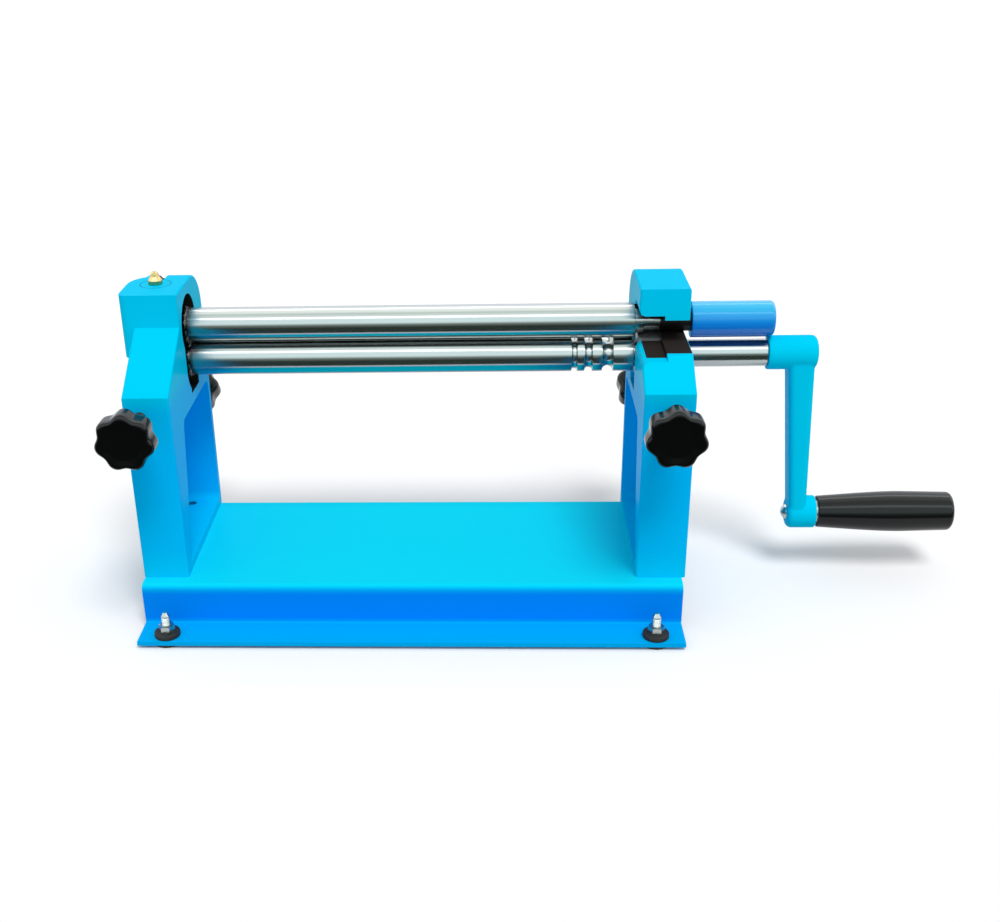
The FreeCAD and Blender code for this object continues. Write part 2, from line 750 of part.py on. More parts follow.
def wedge_channel(body, x):
    """The level channel that the wedge slides in, under the block."""
    half = wedge_width / 2 + free
    floor = lower_z - channel_floor
    sketch = new_sketch(body, "XZ_Plane", channel_front)
    rectangle(sketch, x - half, floor, x + half, floor + channel_height)
    carve(body, sketch, channel_front + channel_rear)


def screw_ways(body, x):
    """The bores of the front and rear hand screws."""
    bore = screw_radius + running
    carve_circle(body, "XZ_Plane", leg_front, x, front_screw_z, bore, leg_front - channel_front)
    start = document.addObject("PartDesign::Plane", body.Name + "_rear_datum")
    body.addObject(start)
    start.AttachmentSupport = (origin_plane(body, "XZ_Plane"), [""])
    start.MapMode = "FlatFace"
    start.AttachmentOffset = FreeCAD.Placement(
        FreeCAD.Vector(0, 0, 0), FreeCAD.Rotation(FreeCAD.Vector(1, 0, 0), -45)
    )
    start.setExpression("AttachmentOffset.Rotation.Angle", (-slant).formula)
    start.setExpression("AttachmentOffset.Base.y", upper_z.formula)
    document.recompute()
    sketch = body.newObject("Sketcher::SketchObject", body.Name + "_sketch")
    sketch.AttachmentSupport = (start, [""])
    sketch.MapMode = "FlatFace"
    sketch.setExpression("AttachmentOffset.Base.z", (-rear_offset).formula)
    circle(sketch, x, 0, bore)
    carve(body, sketch, rear_offset)


def sole_holes(body, x):
    sketch = new_sketch(body, "XY_Plane", base_top)
    for depth in (-bolt_front, bolt_rear):
        circle(sketch, x, depth, bolt_radius + seat)
    carve(body, sketch, foot_plate, True)


def left_side_frame():
    body = frame_slab("left_side_frame", inner_left, outer_left, left_thick)
    round_edges(body, side_rule((inner_left, outer_left), base_top), edge_round)
    boss = new_sketch(body, "XY_Plane", frame_top - boss_drop)
    circle(boss, left_x, 0, boss_radius)
    grow(body, boss, boss_drop)
    cheek = new_sketch(body, "XY_Plane", frame_top - boss_drop)
    outline(cheek, [
        (left_x - boss_radius, -head_front, cheek_round),
        (left_x, -head_front),
        (left_x, 0),
        (left_x - boss_radius, 0),
    ])
    grow(body, cheek, boss_drop)
    lower_pocket(body, inner_left, left_pocket, True)
    carve_circle(body, "YZ_Plane", inner_left, 0, upper_z, upper_hole, gear_chamber)
    carve_circle(body, "YZ_Plane", inner_left, 0, lower_z - lower_slot_drop + lower_slot,
                 lower_slot, gear_chamber)
    slot = new_sketch(body, "YZ_Plane", inner_left)
    rectangle(slot, -lower_slot, lower_z - lower_slot_drop + lower_slot, lower_slot, upper_z)
    carve(body, slot, gear_chamber)
    block_chamber(body, inner_left, left_pocket, lower_z + left_block_up + free, True)
    wedge_channel(body, left_x)
    rear_slide(body, inner_left, left_pocket, True)
    screw_ways(body, left_x)
    trunnion_depth = frame_top - upper_z + trunnion_under + running
    carve_circle(body, "XY_Plane", frame_top, left_x, 0, trunnion_radius + running, trunnion_depth)
    carve_circle(body, "YZ_Plane", inner_left, 0, upper_z, passage_radius, passage_depth)
    stop = new_sketch(body, "XY_Plane", frame_top)
    half = stop_slot_width / 2
    rectangle(stop, left_x - half, trunnion_radius, left_x + half, base_rear)
    carve(body, stop, stop_slot_depth)
    sole_holes(body, left_x)
    keep(place(body))


def release_slot(body):
    """The slot, open to the front, that the upper roll swings out through."""
    for start, depth, half in (
        (inner_right + slot_inner_depth, right_thick - slot_inner_depth, slot_half_outer),
        (inner_right, slot_inner_depth, slot_half_inner),
    ):
        carve_circle(body, "YZ_Plane", start, 0, upper_z, half, depth, True)
        sketch = new_sketch(body, "YZ_Plane", start)
        rectangle(sketch, -leg_front, upper_z - half, 0, upper_z + half)
        carve(body, sketch, depth, True)


def shaft_window(body):
    """The window in the outer wall that lets the drive shaft move down with its block."""
    radius = sleeve_radius + free
    for drop in (as_size(0), lower_travel):
        carve_circle(body, "YZ_Plane", outer_right, 0, lower_z - drop, radius, outer_wall)
    sketch = new_sketch(body, "YZ_Plane", outer_right)
    rectangle(sketch, -radius, lower_z - lower_travel, radius, lower_z)
    carve(body, sketch, outer_wall)


def slot_mouth(body):
    """Ease the slot's inner mouth, above and below, with two facets."""
    reach = slot_mouth_round
    inset = reach * (1 - cosine(as_size(45)))
    for side in (-1, 1):
        level = upper_z + side * slot_half_inner
        sketch = new_sketch(body, "XZ_Plane", leg_front)
        outline(sketch, [
            (inner_right, level),
            (inner_right + reach, level),
            (inner_right + inset, level + side * inset),
            (inner_right, level + side * reach),
        ])
        carve(body, sketch, leg_front)


def right_side_frame():
    body = frame_slab("right_side_frame", inner_right, outer_right, right_thick)
    round_edges(body, side_rule((inner_right, outer_right), base_top), edge_round)
    lower_pocket(body, inner_right, right_pocket, False)
    release_slot(body)
    slot_mouth(body)
    block_chamber(body, inner_right, right_pocket, lower_z + right_block_up + free, False)
    wedge_channel(body, right_x)
    rear_slide(body, inner_right, right_pocket, False)
    shaft_window(body)
    screw_ways(body, right_x)
    sole_holes(body, right_x)
    keep(place(body))


# ---------------------------------------------------------------- gears and rolls

def spur_gear(label, lag):
    """A keyed spur gear, its tooth space cut once and repeated round the bore."""
    body = new_body(label)
    blank = new_sketch(body, "YZ_Plane", gear_left)
    circle(blank, 0, 0, gear_tip)
    grow(body, blank, gear_width)
    step = Size(360 / gear_teeth, repr(360 / gear_teeth))
    space = new_sketch(body, "YZ_Plane", gear_left)
    low, high = (
        [tooth_corner(radius, tooth, side, step, lag)
         for radius, tooth in ((gear_root, tooth_root), (gear_tip, tooth_tip))]
        + [tooth_corner(gear_clear, tooth_tip, side, step, lag)]
        for side in (-1, 1)
    )
    outline(space, low[::-1] + high)
    first = carve(body, space, gear_width, True)
    pattern(body, first, space, gear_teeth)
    carve_circle(body, "YZ_Plane", gear_left, 0, 0, journal_radius + seat, gear_width, True)
    keyway = new_sketch(body, "YZ_Plane", gear_left)
    half = key_width / 2 + seat
    rectangle(keyway, -half, 0, half, journal_radius + half)
    carve(body, keyway, gear_width, True)
    return body


def tooth_corner(radius, tooth, side, step, lag):
    """One corner of the space between two teeth, turned about the gear axis by lag."""
    width_angle = tooth / radius * (180 / math.pi)
    angle = side * (step - width_angle) / 2 + lag
    return radius * sine(angle), radius * cosine(angle)


def gear_key(label, y, z):
    body = new_body(label)
    half = key_width / 2
    sketch = new_sketch(body, "YZ_Plane", gear_left)
    rectangle(sketch, -half, journal_radius - half, half, journal_radius + half)
    grow(body, sketch, gear_width)
    return keep(place(body, 0, y, z))


def key_seat(body):
    """The slot in a roll's gear seat that holds the key."""
    half = key_width / 2 + seat
    sketch = new_sketch(body, "YZ_Plane", gear_left)
    rectangle(sketch, -half, journal_radius - half, half, journal_radius + half)
    carve(body, sketch, gear_width, True)


def wire_grooves(body):
    """Three half-round grooves for bending wire, near the crank end."""
    for place_in, radius in (
        (groove_first, groove_wide),
        (groove_second, groove_middle),
        (groove_third, groove_narrow),
    ):
        ring_groove(body, roll_half - place_in, radius)


def upper_roll():
    body = new_body("upper_roll")
    revolve(body, "XY_Plane", "H_Axis", steps(
        (left_x - journal_past, upper_left_journal),
        (gear_left, journal_radius),
        (gear_right, collar_radius),
        (-roll_half, roll_radius),
        (roll_half, collar_radius),
        (inner_right + slot_inner_depth / 3, neck_radius),
        (inner_right + slot_inner_depth, upper_right_journal),
        (bar_left + bar_socket - free,),
    ))
    key_seat(body)
    keep(place(body, 0, 0, upper_z))
    gear = spur_gear("upper_gear", -mesh_lag)
    keep(place(gear, 0, 0, upper_z))
    gear_key("upper_gear_key", 0, upper_z)


def lower_roll():
    body = new_body("lower_roll")
    revolve(body, "XY_Plane", "H_Axis", steps(
        (outer_left + outer_wall + free, journal_radius),
        (gear_right, collar_radius),
        (-roll_half, roll_radius),
        (roll_half, collar_radius),
        (inner_right + block_inset - free, journal_radius),
        (shaft_end,),
    ))
    wire_grooves(body)
    key_seat(body)
    keep(place(body, 0, 0, lower_z))
    gear = spur_gear("lower_gear", as_size(0))
    keep(place(gear, 0, 0, lower_z))
    gear_key("lower_gear_key", 0, lower_z)


def rear_roll():
    body = new_body("rear_roll")
    revolve(body, "XY_Plane", "H_Axis", steps(
        (outer_left + outer_wall + free, rear_journal),
        (inner_left, collar_radius),
        (-roll_half, roll_radius),
        (roll_half, collar_radius),
        (inner_right, rear_journal),
        (outer_right - outer_wall - free,),
    ))
    wire_grooves(body)
    keep(place(body, 0, rear_y, rear_z))


# ---------------------------------------------------------------- upper roll's carrier

def swivel_trunnion():
    body = new_body("swivel_trunnion")
    top = frame_top - upper_z
    revolve(body, "XZ_Plane", "V_Axis", [
        (0, -trunnion_under),
        (trunnion_radius, -trunnion_under),
        (trunnion_radius, top),
        (0, top),
    ])
    bore = upper_left_journal + running + upper_left_bush_wall + seat
    carve_circle(body, "YZ_Plane", -trunnion_radius, 0, 0, bore, trunnion_radius * 2, True)
    carve_circle(body, "XY_Plane", top, 0, 0, oiler_stem + seat, oiler_stem_length + seat)
    carve_circle(body, "XY_Plane", top, 0, 0, oil_way, top)
    keep(place(body, left_x, 0, upper_z))


def oiler():
    """A ball oiler: stem, wide foot, waist and rounded cap."""
    body = new_body("oiler")
    revolve(body, "XZ_Plane", "V_Axis", [
        (0, -oiler_stem_length),
        (oiler_stem, -oiler_stem_length),
        (oiler_stem, 0),
        (oiler_radius, 0),
        (oiler_radius, oiler_shelf),
        (oiler_waist, oiler_slope),
        (oiler_waist, oiler_height - oiler_cap),
        (0, oiler_height),
    ])
    keep(place(body, left_x, 0, frame_top))


def upper_bushes():
    left = new_body("upper_left_bush")
    inside = upper_left_journal + running
    revolve(left, "XY_Plane", "H_Axis", tube(
        left_x - upper_left_bush_half, left_x + upper_left_bush_half,
        inside, inside + upper_left_bush_wall,
    ))
    keep(place(left, 0, 0, upper_z))
    right = new_body("upper_right_bush")
    revolve(right, "XY_Plane", "H_Axis", tube(
        inner_right + slot_inner_depth + free, bar_left + bar_socket,
        upper_right_journal + running, upper_bush_radius,
    ))
    keep(place(right, 0, 0, upper_z))


def release_bar():
    """The round bar that pulls the roll's free end out of its slot."""
    body = new_body("release_bar")
    revolve(body, "XY_Plane", "H_Axis", [
        (bar_left, upper_bush_radius + seat),
        (bar_left, bar_radius),
        (bar_right - bar_end_bevel, bar_radius),
        (bar_right, bar_radius - bar_end_bevel),
        (bar_right, 0),
        (bar_left + bar_socket, 0),
        (bar_left + bar_socket, upper_bush_radius + seat),
    ])
    middle = bar_left + bar_socket / 2
    carve_circle(body, "XY_Plane", bar_radius, middle, 0, bar_screw_radius + seat,
                 bar_radius - upper_bush_radius)
    keep(place(body, 0, 0, upper_z))
    length = bar_radius - upper_bush_radius - free
    screw = grub_screw("release_bar_screw", bar_screw_radius, length)
    keep(place(screw, middle, 0, upper_z + upper_bush_radius))


def grub_screw(label, radius, length):
    """A headless screw standing on the body's origin, its socket at the top."""
    body = new_body(label)
    sketch = new_sketch(body, "XY_Plane")
    circle(sketch, 0, 0, radius)
    grow(body, sketch, length)
    socket = new_sketch(body, "XY_Plane", length)
    reach = radius * socket_part
    turns = [Size(60 * turn, f"{60 * turn}") for turn in range(6)]
    outline(socket, [(reach * cosine(turn), reach * sine(turn)) for turn in turns])
    carve(body, socket, length / 2)
    return body


# ---------------------------------------------------------------- lower bearings

def lower_block(label, start, end, up):
    """A bearing block with a sloped sole that rides on its wedge."""
    body = new_body(label)
    fall = block_half / wedge_slope
    sketch = new_sketch(body, "YZ_Plane", start)
    outline(sketch, [
        (-block_half, -block_down + fall),
        (block_half, -block_down - fall),
        (block_half, up),
        (-block_half, up),
    ])
    grow(body, sketch, end - start)
    carve_circle(body, "YZ_Plane", start, 0, 0, bush_outside + seat, end - start, True)
    keep(place(body, 0, 0, lower_z))


def bush(label, start, end, inside, outside, y, z):
    body = new_body(label)
    revolve(body, "XY_Plane", "H_Axis", tube(start, end, inside, outside))
    keep(place(body, 0, y, z))


def lower_bearings():
    left_start = outer_left + outer_wall + free
    left_end = inner_left - gear_chamber
    right_start = inner_right + block_inset
    right_end = outer_right - outer_wall - free
    lower_block("lower_left_block", left_start, left_end, left_block_up)
    lower_block("lower_right_block", right_start, right_end, right_block_up)
    bush("lower_left_bush", left_start, left_end, bush_bore, bush_outside, 0, lower_z)
    bush("lower_right_bush", right_start, right_end, bush_bore, bush_outside, 0, lower_z)


def wedge(label, x):
    """The wedge under a lower block; pushed in, it lifts the block."""
    body = new_body(label)
    fall = wedge_half_length / wedge_slope
    floor = -channel_floor + slide
    top = -block_down - slide
    sketch = new_sketch(body, "YZ_Plane", -(wedge_width / 2))
    outline(sketch, [
        (-wedge_half_length, floor),
        (wedge_half_length, floor),
        (wedge_half_length, top - fall),
        (-wedge_half_length, top + fall),
    ])
    grow(body, sketch, wedge_width)
    carve_circle(body, "XZ_Plane", wedge_half_length, 0, -front_screw_drop,
                 tip_radius + running, tip_length + free)
    keep(place(body, x, 0, lower_z))


# ---------------------------------------------------------------- hand screws and knobs

def front_screw(label, x):
    body = new_body(label)
    knob_face = -(leg_front + knob_reach)
    knob_back = knob_face + knob_head + knob_neck
    revolve(body, "YZ_Plane", "H_Axis", steps(
        (knob_back - screw_in_knob, screw_radius),
        (-wedge_half_length - free, tip_radius),
        (-wedge_half_length + tip_length,),
    ))
    keep(place(body, x, 0, front_screw_z))


def slanted(body, x):
    """Lay a body along the rear slide, its +Y pointing back to the upper roll."""
    place(body, x, 0, upper_z)
    body.Placement.Rotation = FreeCAD.Rotation(FreeCAD.Vector(1, 0, 0), 135)
    body.setExpression("Placement.Rotation.Angle", (180 + -slant).formula)
    return keep(body)


def rear_screw(label, x):
    body = new_body(label)
    knob_back = -rear_knob_face + knob_head + knob_neck
    block_face = -rear_offset - rear_block_back
    revolve(body, "YZ_Plane", "H_Axis", steps(
        (knob_back - screw_in_knob, screw_radius),
        (block_face - free, tip_radius),
        (block_face + rear_tip,),
    ))
    slanted(body, x)


def star_knob(label, face):
    """A moulded knob: tapered neck, round head, hollows between its lobes."""
    body = new_body(label)
    head_back = face + knob_head
    neck_back = head_back + knob_neck
    bore = screw_radius + seat
    bottom = neck_back - screw_in_knob
    revolve(body, "YZ_Plane", "H_Axis", [
        (face + face_dish, 0),
        (face, knob_radius - lobe_bevel),
        (face + lobe_bevel, knob_radius),
        (head_back - lobe_bevel, knob_radius),
        (head_back, knob_radius - lobe_bevel),
        (head_back, knob_neck_radius),
        (neck_back, knob_end_radius),
        (neck_back, bore),
        (bottom, bore),
        (bottom, 0),
    ])
    hollow = new_sketch(body, "XZ_Plane", -face)
    circle(hollow, 0, scallop_place, scallop_radius)
    first = carve(body, hollow, knob_head)
    pattern(body, first, hollow, knob_lobes)
    return body


def knobs_and_screws():
    front_face = -(leg_front + knob_reach)
    for side, x in (("left", left_x), ("right", right_x)):
        wedge(f"front_{side}_wedge", x)
        front_screw(f"front_{side}_screw", x)
        knob = star_knob(f"front_{side}_knob", front_face)
        keep(place(knob, x, 0, front_screw_z))
        rear_screw(f"rear_{side}_screw", x)
        slanted(star_knob(f"rear_{side}_knob", -rear_knob_face), x)


# ---------------------------------------------------------------- rear bearings

def rear_block(label, start, end):
    """A bearing block, square to the slanted slide, with a blind bore for its screw."""
    body = new_body(label)
    sketch = new_sketch(body, "YZ_Plane", start)
    rectangle(
        sketch,
        -rear_offset - rear_block_back, -rear_block_wide,
        -rear_offset + rear_block_fore, rear_block_wide,
    )
    grow(body, sketch, end - start)
    carve_circle(body, "YZ_Plane", start, -rear_offset, 0, rear_bush_outside + seat,
                 end - start, True)
    x = left_x if start.number < 0 else right_x
    carve_circle(body, "XZ_Plane", rear_offset + rear_block_back, x, 0, tip_radius + running,
                 rear_tip + slide)
    slanted(body, 0)


def rear_bearings():
    left_start = outer_left + outer_wall + free
    left_end = inner_left - gear_chamber
    right_start = inner_right + block_inset
    right_end = outer_right - outer_wall - free
    rear_block("rear_left_block", left_start, left_end)
    rear_block("rear_right_block", right_start, right_end)
    for label, start, end in (
        ("rear_left_bush", left_start, left_end),
        ("rear_right_bush", right_start, right_end),
    ):
        bush(label, start, end, rear_bush_bore, rear_bush_outside, rear_y, rear_z)


# ---------------------------------------------------------------- crank and handle

def crank_arm():
    """A cast arm, leaning outwards from its hub to the boss of the handle."""
    body = new_body("crank_arm")
    arm = new_sketch(body, "XZ_Plane", -(arm_width / 2))
    outline(arm, [
        (foot_left, -crank_radius),
        (foot_right, -crank_radius),
        (arm_right, 0),
        (arm_left, 0),
    ])
    grow(body, arm, arm_width)
    middle = -crank_radius.number / 2
    round_edges(body, lambda edge: near(edge.CenterOfMass.z, middle), arm_round)
    revolve(body, "XY_Plane", "H_Axis", [
        (hub_start, 0),
        (hub_start, hub_radius),
        (hub_end, hub_radius, arm_round),
        (hub_end, 0),
    ])
    revolve(body, "XY_Plane", "H_Axis", [
        (boss_start, 0),
        (boss_start, hub_radius, arm_round),
        (boss_end, hub_radius),
        (boss_end, 0),
    ], -crank_radius)
    carve_circle(body, "YZ_Plane", hub_start, 0, 0, journal_radius + seat, shaft_in_hub + free, True)
    carve_circle(body, "YZ_Plane", boss_start, 0, -crank_radius, pin_radius + running,
                 boss_end - boss_start, True)
    along = hub_start + hub_length / 4
    carve_circle(body, "XY_Plane", -hub_radius, along, 0, set_screw_radius + seat,
                 hub_radius - journal_radius, True)
    keep(place(body, 0, 0, lower_z))
    screw = grub_screw("crank_set_screw", set_screw_radius, hub_radius - journal_radius - free)
    place(screw, along, 0, lower_z - journal_radius)
    screw.Placement.Rotation = FreeCAD.Rotation(FreeCAD.Vector(1, 0, 0), 180)
    keep(screw)


def shaft_sleeve():
    body = new_body("shaft_sleeve")
    revolve(body, "XY_Plane", "H_Axis", tube(
        outer_right - outer_wall + free, hub_start, journal_radius + seat, sleeve_radius,
    ))
    keep(place(body, 0, 0, lower_z))


def handle():
    grip_start = boss_end + handle_washer + slide
    grip_end = grip_start + grip_length
    insert_end = grip_start + insert_length
    washer = new_body("handle_washer")
    revolve(washer, "XY_Plane", "H_Axis", tube(
        grip_start - handle_washer, grip_start, pin_radius + seat, handle_washer_radius,
    ))
    keep(place(washer, 0, 0, handle_z))
    insert = new_body("handle_insert")
    revolve(insert, "XY_Plane", "H_Axis", tube(
        grip_start, insert_end, pin_radius + seat, insert_radius,
    ))
    keep(place(insert, 0, 0, handle_z))
    head_end = boss_start - slide
    head_start = head_end - dome_height
    screw = new_body("handle_screw")
    revolve(screw, "XY_Plane", "H_Axis", [
        (head_start, 0),
        (head_start, dome_radius - dome_round),
        (head_start + dome_round, dome_radius),
        (head_end, dome_radius),
        (head_end, pin_radius),
        (insert_end, pin_radius),
        (insert_end, 0),
    ])
    keep(place(screw, 0, 0, handle_z))
    grip = new_body("handle_grip")
    revolve(grip, "XY_Plane", "H_Axis", [
        (grip_start, insert_radius + seat),
        (grip_start, grip_slim),
        (grip_start + grip_length * swell_part, grip_swell),
        (grip_start + grip_length * full_part, grip_full),
        (grip_end, grip_tail, grip_round),
        (grip_end, 0),
        (insert_end, 0),
        (insert_end, insert_radius + seat),
    ])
    keep(place(grip, 0, 0, handle_z))


# ---------------------------------------------------------------- build, test and write

def check_document():
    for item in document.Objects:
        states = set(item.State)
        if states & {"Invalid", "Error"}:
            raise ValueError(f"{item.Label}: {item.State}")
    for item in sub_parts:
        if item.Shape.isNull() or not item.Shape.isValid():
            raise ValueError(f"{item.Label}: shape is empty or not valid")


def write_parts():
    os.makedirs("parts", exist_ok=True)
    for item in sub_parts:
        item.Shape.exportStep(os.path.join("parts", item.Label + ".step"))


base_plate()
feet()
frame_bolts()
left_side_frame()
right_side_frame()
upper_roll()
lower_roll()
rear_roll()
swivel_trunnion()
oiler()
upper_bushes()
release_bar()
lower_bearings()
rear_bearings()
knobs_and_screws()
crank_arm()
shaft_sleeve()
handle()
document.recompute()
check_document()
write_parts()
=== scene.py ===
import json
import logging
import math
from dataclasses import dataclass, field
from enum import Enum
from typing import Mapping, Sequence

import bmesh
import bpy
from mathutils import Matrix, Vector

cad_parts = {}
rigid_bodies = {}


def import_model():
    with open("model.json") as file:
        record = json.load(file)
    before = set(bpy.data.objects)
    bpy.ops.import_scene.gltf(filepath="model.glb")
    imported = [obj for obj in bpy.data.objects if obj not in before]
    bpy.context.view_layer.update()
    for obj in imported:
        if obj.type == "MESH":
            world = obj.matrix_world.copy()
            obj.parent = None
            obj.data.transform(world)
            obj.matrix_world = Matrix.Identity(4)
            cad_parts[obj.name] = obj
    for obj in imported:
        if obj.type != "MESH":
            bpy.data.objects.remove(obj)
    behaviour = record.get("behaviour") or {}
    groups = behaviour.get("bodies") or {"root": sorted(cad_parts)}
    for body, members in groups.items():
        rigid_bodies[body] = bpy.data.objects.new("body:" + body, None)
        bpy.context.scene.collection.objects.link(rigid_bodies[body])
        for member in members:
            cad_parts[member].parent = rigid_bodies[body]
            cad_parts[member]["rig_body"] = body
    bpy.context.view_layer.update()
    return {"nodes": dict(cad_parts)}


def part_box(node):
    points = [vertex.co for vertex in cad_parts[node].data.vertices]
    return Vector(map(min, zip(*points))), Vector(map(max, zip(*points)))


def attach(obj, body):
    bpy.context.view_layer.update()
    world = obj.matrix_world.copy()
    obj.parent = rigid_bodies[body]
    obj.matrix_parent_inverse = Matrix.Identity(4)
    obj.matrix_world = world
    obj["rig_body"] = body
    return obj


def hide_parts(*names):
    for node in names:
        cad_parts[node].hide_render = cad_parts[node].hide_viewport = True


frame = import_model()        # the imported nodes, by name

# A hand-cranked bench slip roll. Sizes in the classes are millimetres, as a drawing gives
# them; the meshes are metres, in the imported frame. Lengths along the rolls are counted from
# mid-span, between the inner faces of the two side frames, towards the crank.

log = logging.getLogger("slip_roll")

MM = 0.001
ROUND_STEPS = 96
SMALL_STEPS = 48
HALF_TURN = math.pi
FULL_TURN = 2 * math.pi
MERGE_DISTANCE = 1e-7
SHARP_ANGLE = math.radians(32)
CREST_START = 0.42    # where a thread's crest starts and ends, as shares of its pitch
CREST_END = 0.58
LEVEL = 0.5           # least upright share of a level face's normal

Tree = bpy.types.NodeTree
Node = bpy.types.Node
Socket = bpy.types.NodeSocket
Shape = bmesh.types.BMesh
Profile = list[tuple[float, float]]
Corner = tuple[float, ...]
Colour = tuple[float, float, float, float]


class Slot(Enum):
    """The record's material slots."""

    ENAMEL = "enamel"
    ROLL_STEEL = "roll_steel"
    MACHINED_STEEL = "machined_steel"
    ZINC = "zinc"
    BLACK_OXIDE = "black_oxide"
    BLACK_PLASTIC = "black_plastic"
    RUBBER = "rubber"
    BRASS = "brass"
    BRONZE = "bronze"


# ---------------------------------------------------------------- colour and shader nodes

def linear(hex_colour: str) -> Colour:
    """Turn an sRGB hex colour into the linear value that a shader takes.

    Args:
        hex_colour: Six hex digits after a hash sign.

    Returns:
        Linear red, green, blue and an alpha of one.
    """
    channels = [int(hex_colour[place:place + 2], 16) / 255 for place in (1, 3, 5)]
    straight = [
        value / 12.92 if value <= 0.04045 else ((value + 0.055) / 1.055) ** 2.4
        for value in channels
    ]
    return (straight[0], straight[1], straight[2], 1.0)


def per_mm(size: float) -> float:
    """Give the texture scale at which one feature is size millimetres wide."""
    return 1 / (size * MM)


def add_node(
    tree: Tree,
    kind: str,
    settings: Mapping[str | int, object] | None = None,
    links: Mapping[str | int, Socket] | None = None,
) -> Node:
    """Add one shader node with its settings and its incoming links.

    Args:
        tree: The node tree that gets the node.
        kind: The node's type name.
        settings: Values by input name, input number or attribute name.
        links: Sources by input name or number.

    Returns:
        The new node.
    """
    made = tree.nodes.new(kind)
    for name, value in (settings or {}).items():
        if isinstance(name, int) or name in made.inputs:
            made.inputs[name].default_value = value
        else:
            setattr(made, name, value)
    for name, source in (links or {}).items():
        tree.links.new(source, made.inputs[name])
    return made


def ramp(tree: Tree, share: Socket, stops: Sequence[tuple[float, Colour]]) -> Socket:
    """Give a colour that follows a value between nought and one.

    Args:
        tree: The node tree.
        share: The value.
        stops: Places on the ramp with their linear colours, in order.

    Returns:
        The ramp's colour.
    """
    band = add_node(tree, "ShaderNodeValToRGB", links={"Fac": share})
    elements = band.color_ramp.elements
    while len(elements) < len(stops):
        elements.new(1.0)
    for element, (place, colour) in zip(elements, stops):
        element.position = place
        element.color = colour
    return band.outputs["Color"]


@dataclass(frozen=True)
class Finish:
    """A surface as a maker would name it, with the values its shader starts from.

    Patch and grain are widths and relief is a height, in millimetres. Metal, plastic and rubber
    have a grain of a tenth of a millimetre or less, which is too fine to show, so it is drawn
    0.4 to 1.6 mm wide.
    """

    name: str
    slot: Slot
    colour: str
    shade: str
    roughness: float
    metallic: float = 0.0
    patch: float = 30.0
    grain: float = 0.8
    relief: float = 0.01
    stretch: tuple[float, float, float] = (1.0, 1.0, 1.0)
    gloss_spread: float = 0.05
    shader_settings: tuple[tuple[str, float], ...] = ()

    def material(self) -> bpy.types.Material:
        """Give the material, made on first use.

        Returns:
            A node material whose colour, roughness and relief follow Object coordinates.
        """
        known = bpy.data.materials.get(self.name)
        if known is not None:
            return known
        made = bpy.data.materials.new(self.name)
        made.use_nodes = True
        made.diffuse_color = linear(self.colour)
        tree = made.node_tree
        tree.nodes.clear()
        where = add_node(tree, "ShaderNodeTexCoord").outputs["Object"]
        grain = self.worked_grain(tree, where)
        shader = add_node(
            tree, "ShaderNodeBsdfPrincipled",
            {"Metallic": self.metallic, **dict(self.shader_settings)},
            {
                "Base Color": self.tint(tree, where),
                "Roughness": self.polish(tree, grain),
                "Normal": self.skin(tree, grain),
                **self.lay(tree),
            },
        )
        add_node(tree, "ShaderNodeOutputMaterial", links={"Surface": shader.outputs["BSDF"]})
        return made

    def tint(self, tree: Tree, where: Socket) -> Socket:
        """Mix the two colours of the finish in soft patches.

        Args:
            tree: The material's tree.
            where: Object coordinates.

        Returns:
            The colour.
        """
        patches = add_node(
            tree, "ShaderNodeTexNoise",
            {"Scale": per_mm(self.patch), "Detail": 3.0}, {"Vector": where},
        )
        return add_node(
            tree, "ShaderNodeMix",
            {"data_type": "RGBA", 6: linear(self.colour), 7: linear(self.shade)},
            {0: patches.outputs["Fac"]},
        ).outputs[2]

    def worked_grain(self, tree: Tree, where: Socket) -> Socket:
        """Draw the fine grain out along the way that the surface was worked.

        Args:
            tree: The material's tree.
            where: Object coordinates.

        Returns:
            The grain's height between nought and one.
        """
        drawn = add_node(
            tree, "ShaderNodeMapping", {"vector_type": "TEXTURE", "Scale": self.stretch},
            {"Vector": where},
        )
        return add_node(
            tree, "ShaderNodeTexNoise",
            {"Scale": per_mm(self.grain), "Detail": 2.0}, {"Vector": drawn.outputs["Vector"]},
        ).outputs["Fac"]

    def lay(self, tree: Tree) -> dict[str, Socket]:
        """Give the way that the tool marks run, where the finish has one."""
        return {}

    def polish(self, tree: Tree, grain: Socket) -> Socket:
        """Let the roughness wander a little with the grain."""
        least, most = self.roughness - self.gloss_spread, self.roughness + self.gloss_spread
        return add_node(
            tree, "ShaderNodeMapRange", {"To Min": least, "To Max": most}, {"Value": grain}
        ).outputs["Result"]

    def skin(self, tree: Tree, grain: Socket) -> Socket:
        """Raise the grain by its real height."""
        return add_node(
            tree, "ShaderNodeBump", {"Strength": 0.5, "Distance": self.relief * MM},
            {"Height": grain},
        ).outputs["Normal"]


@dataclass(frozen=True)
class TurnedMetal(Finish):
    """Metal ground round the X axis: reflections smear along it and stay sharp round it."""

    def lay(self, tree: Tree) -> dict[str, Socket]:
        """Run the tool marks round the X axis."""
        marks = add_node(tree, "ShaderNodeTangent", {"direction_type": "RADIAL", "axis": "X"})
        return {"Tangent": marks.outputs["Tangent"]}


@dataclass(frozen=True)
class Bore:
    """A round bore along the rolls, in metres of the frame."""

    start: float
    end: float
    across: float
    height: float
    radius: float

    def mask(self, tree: Tree, spread: Node) -> Socket:
        """Give one inside the bore.

        Args:
            tree: The material's tree.
            spread: The separated Object coordinates.

        Returns:
            One within the bore's radius and length, otherwise nought.
        """
        reach = from_line(tree, spread, "YZ", (0.0, self.across, self.height))
        inside = within(tree, reach, 0.0, self.radius)
        return both(tree, inside, within(tree, spread.outputs["X"], self.start, self.end))


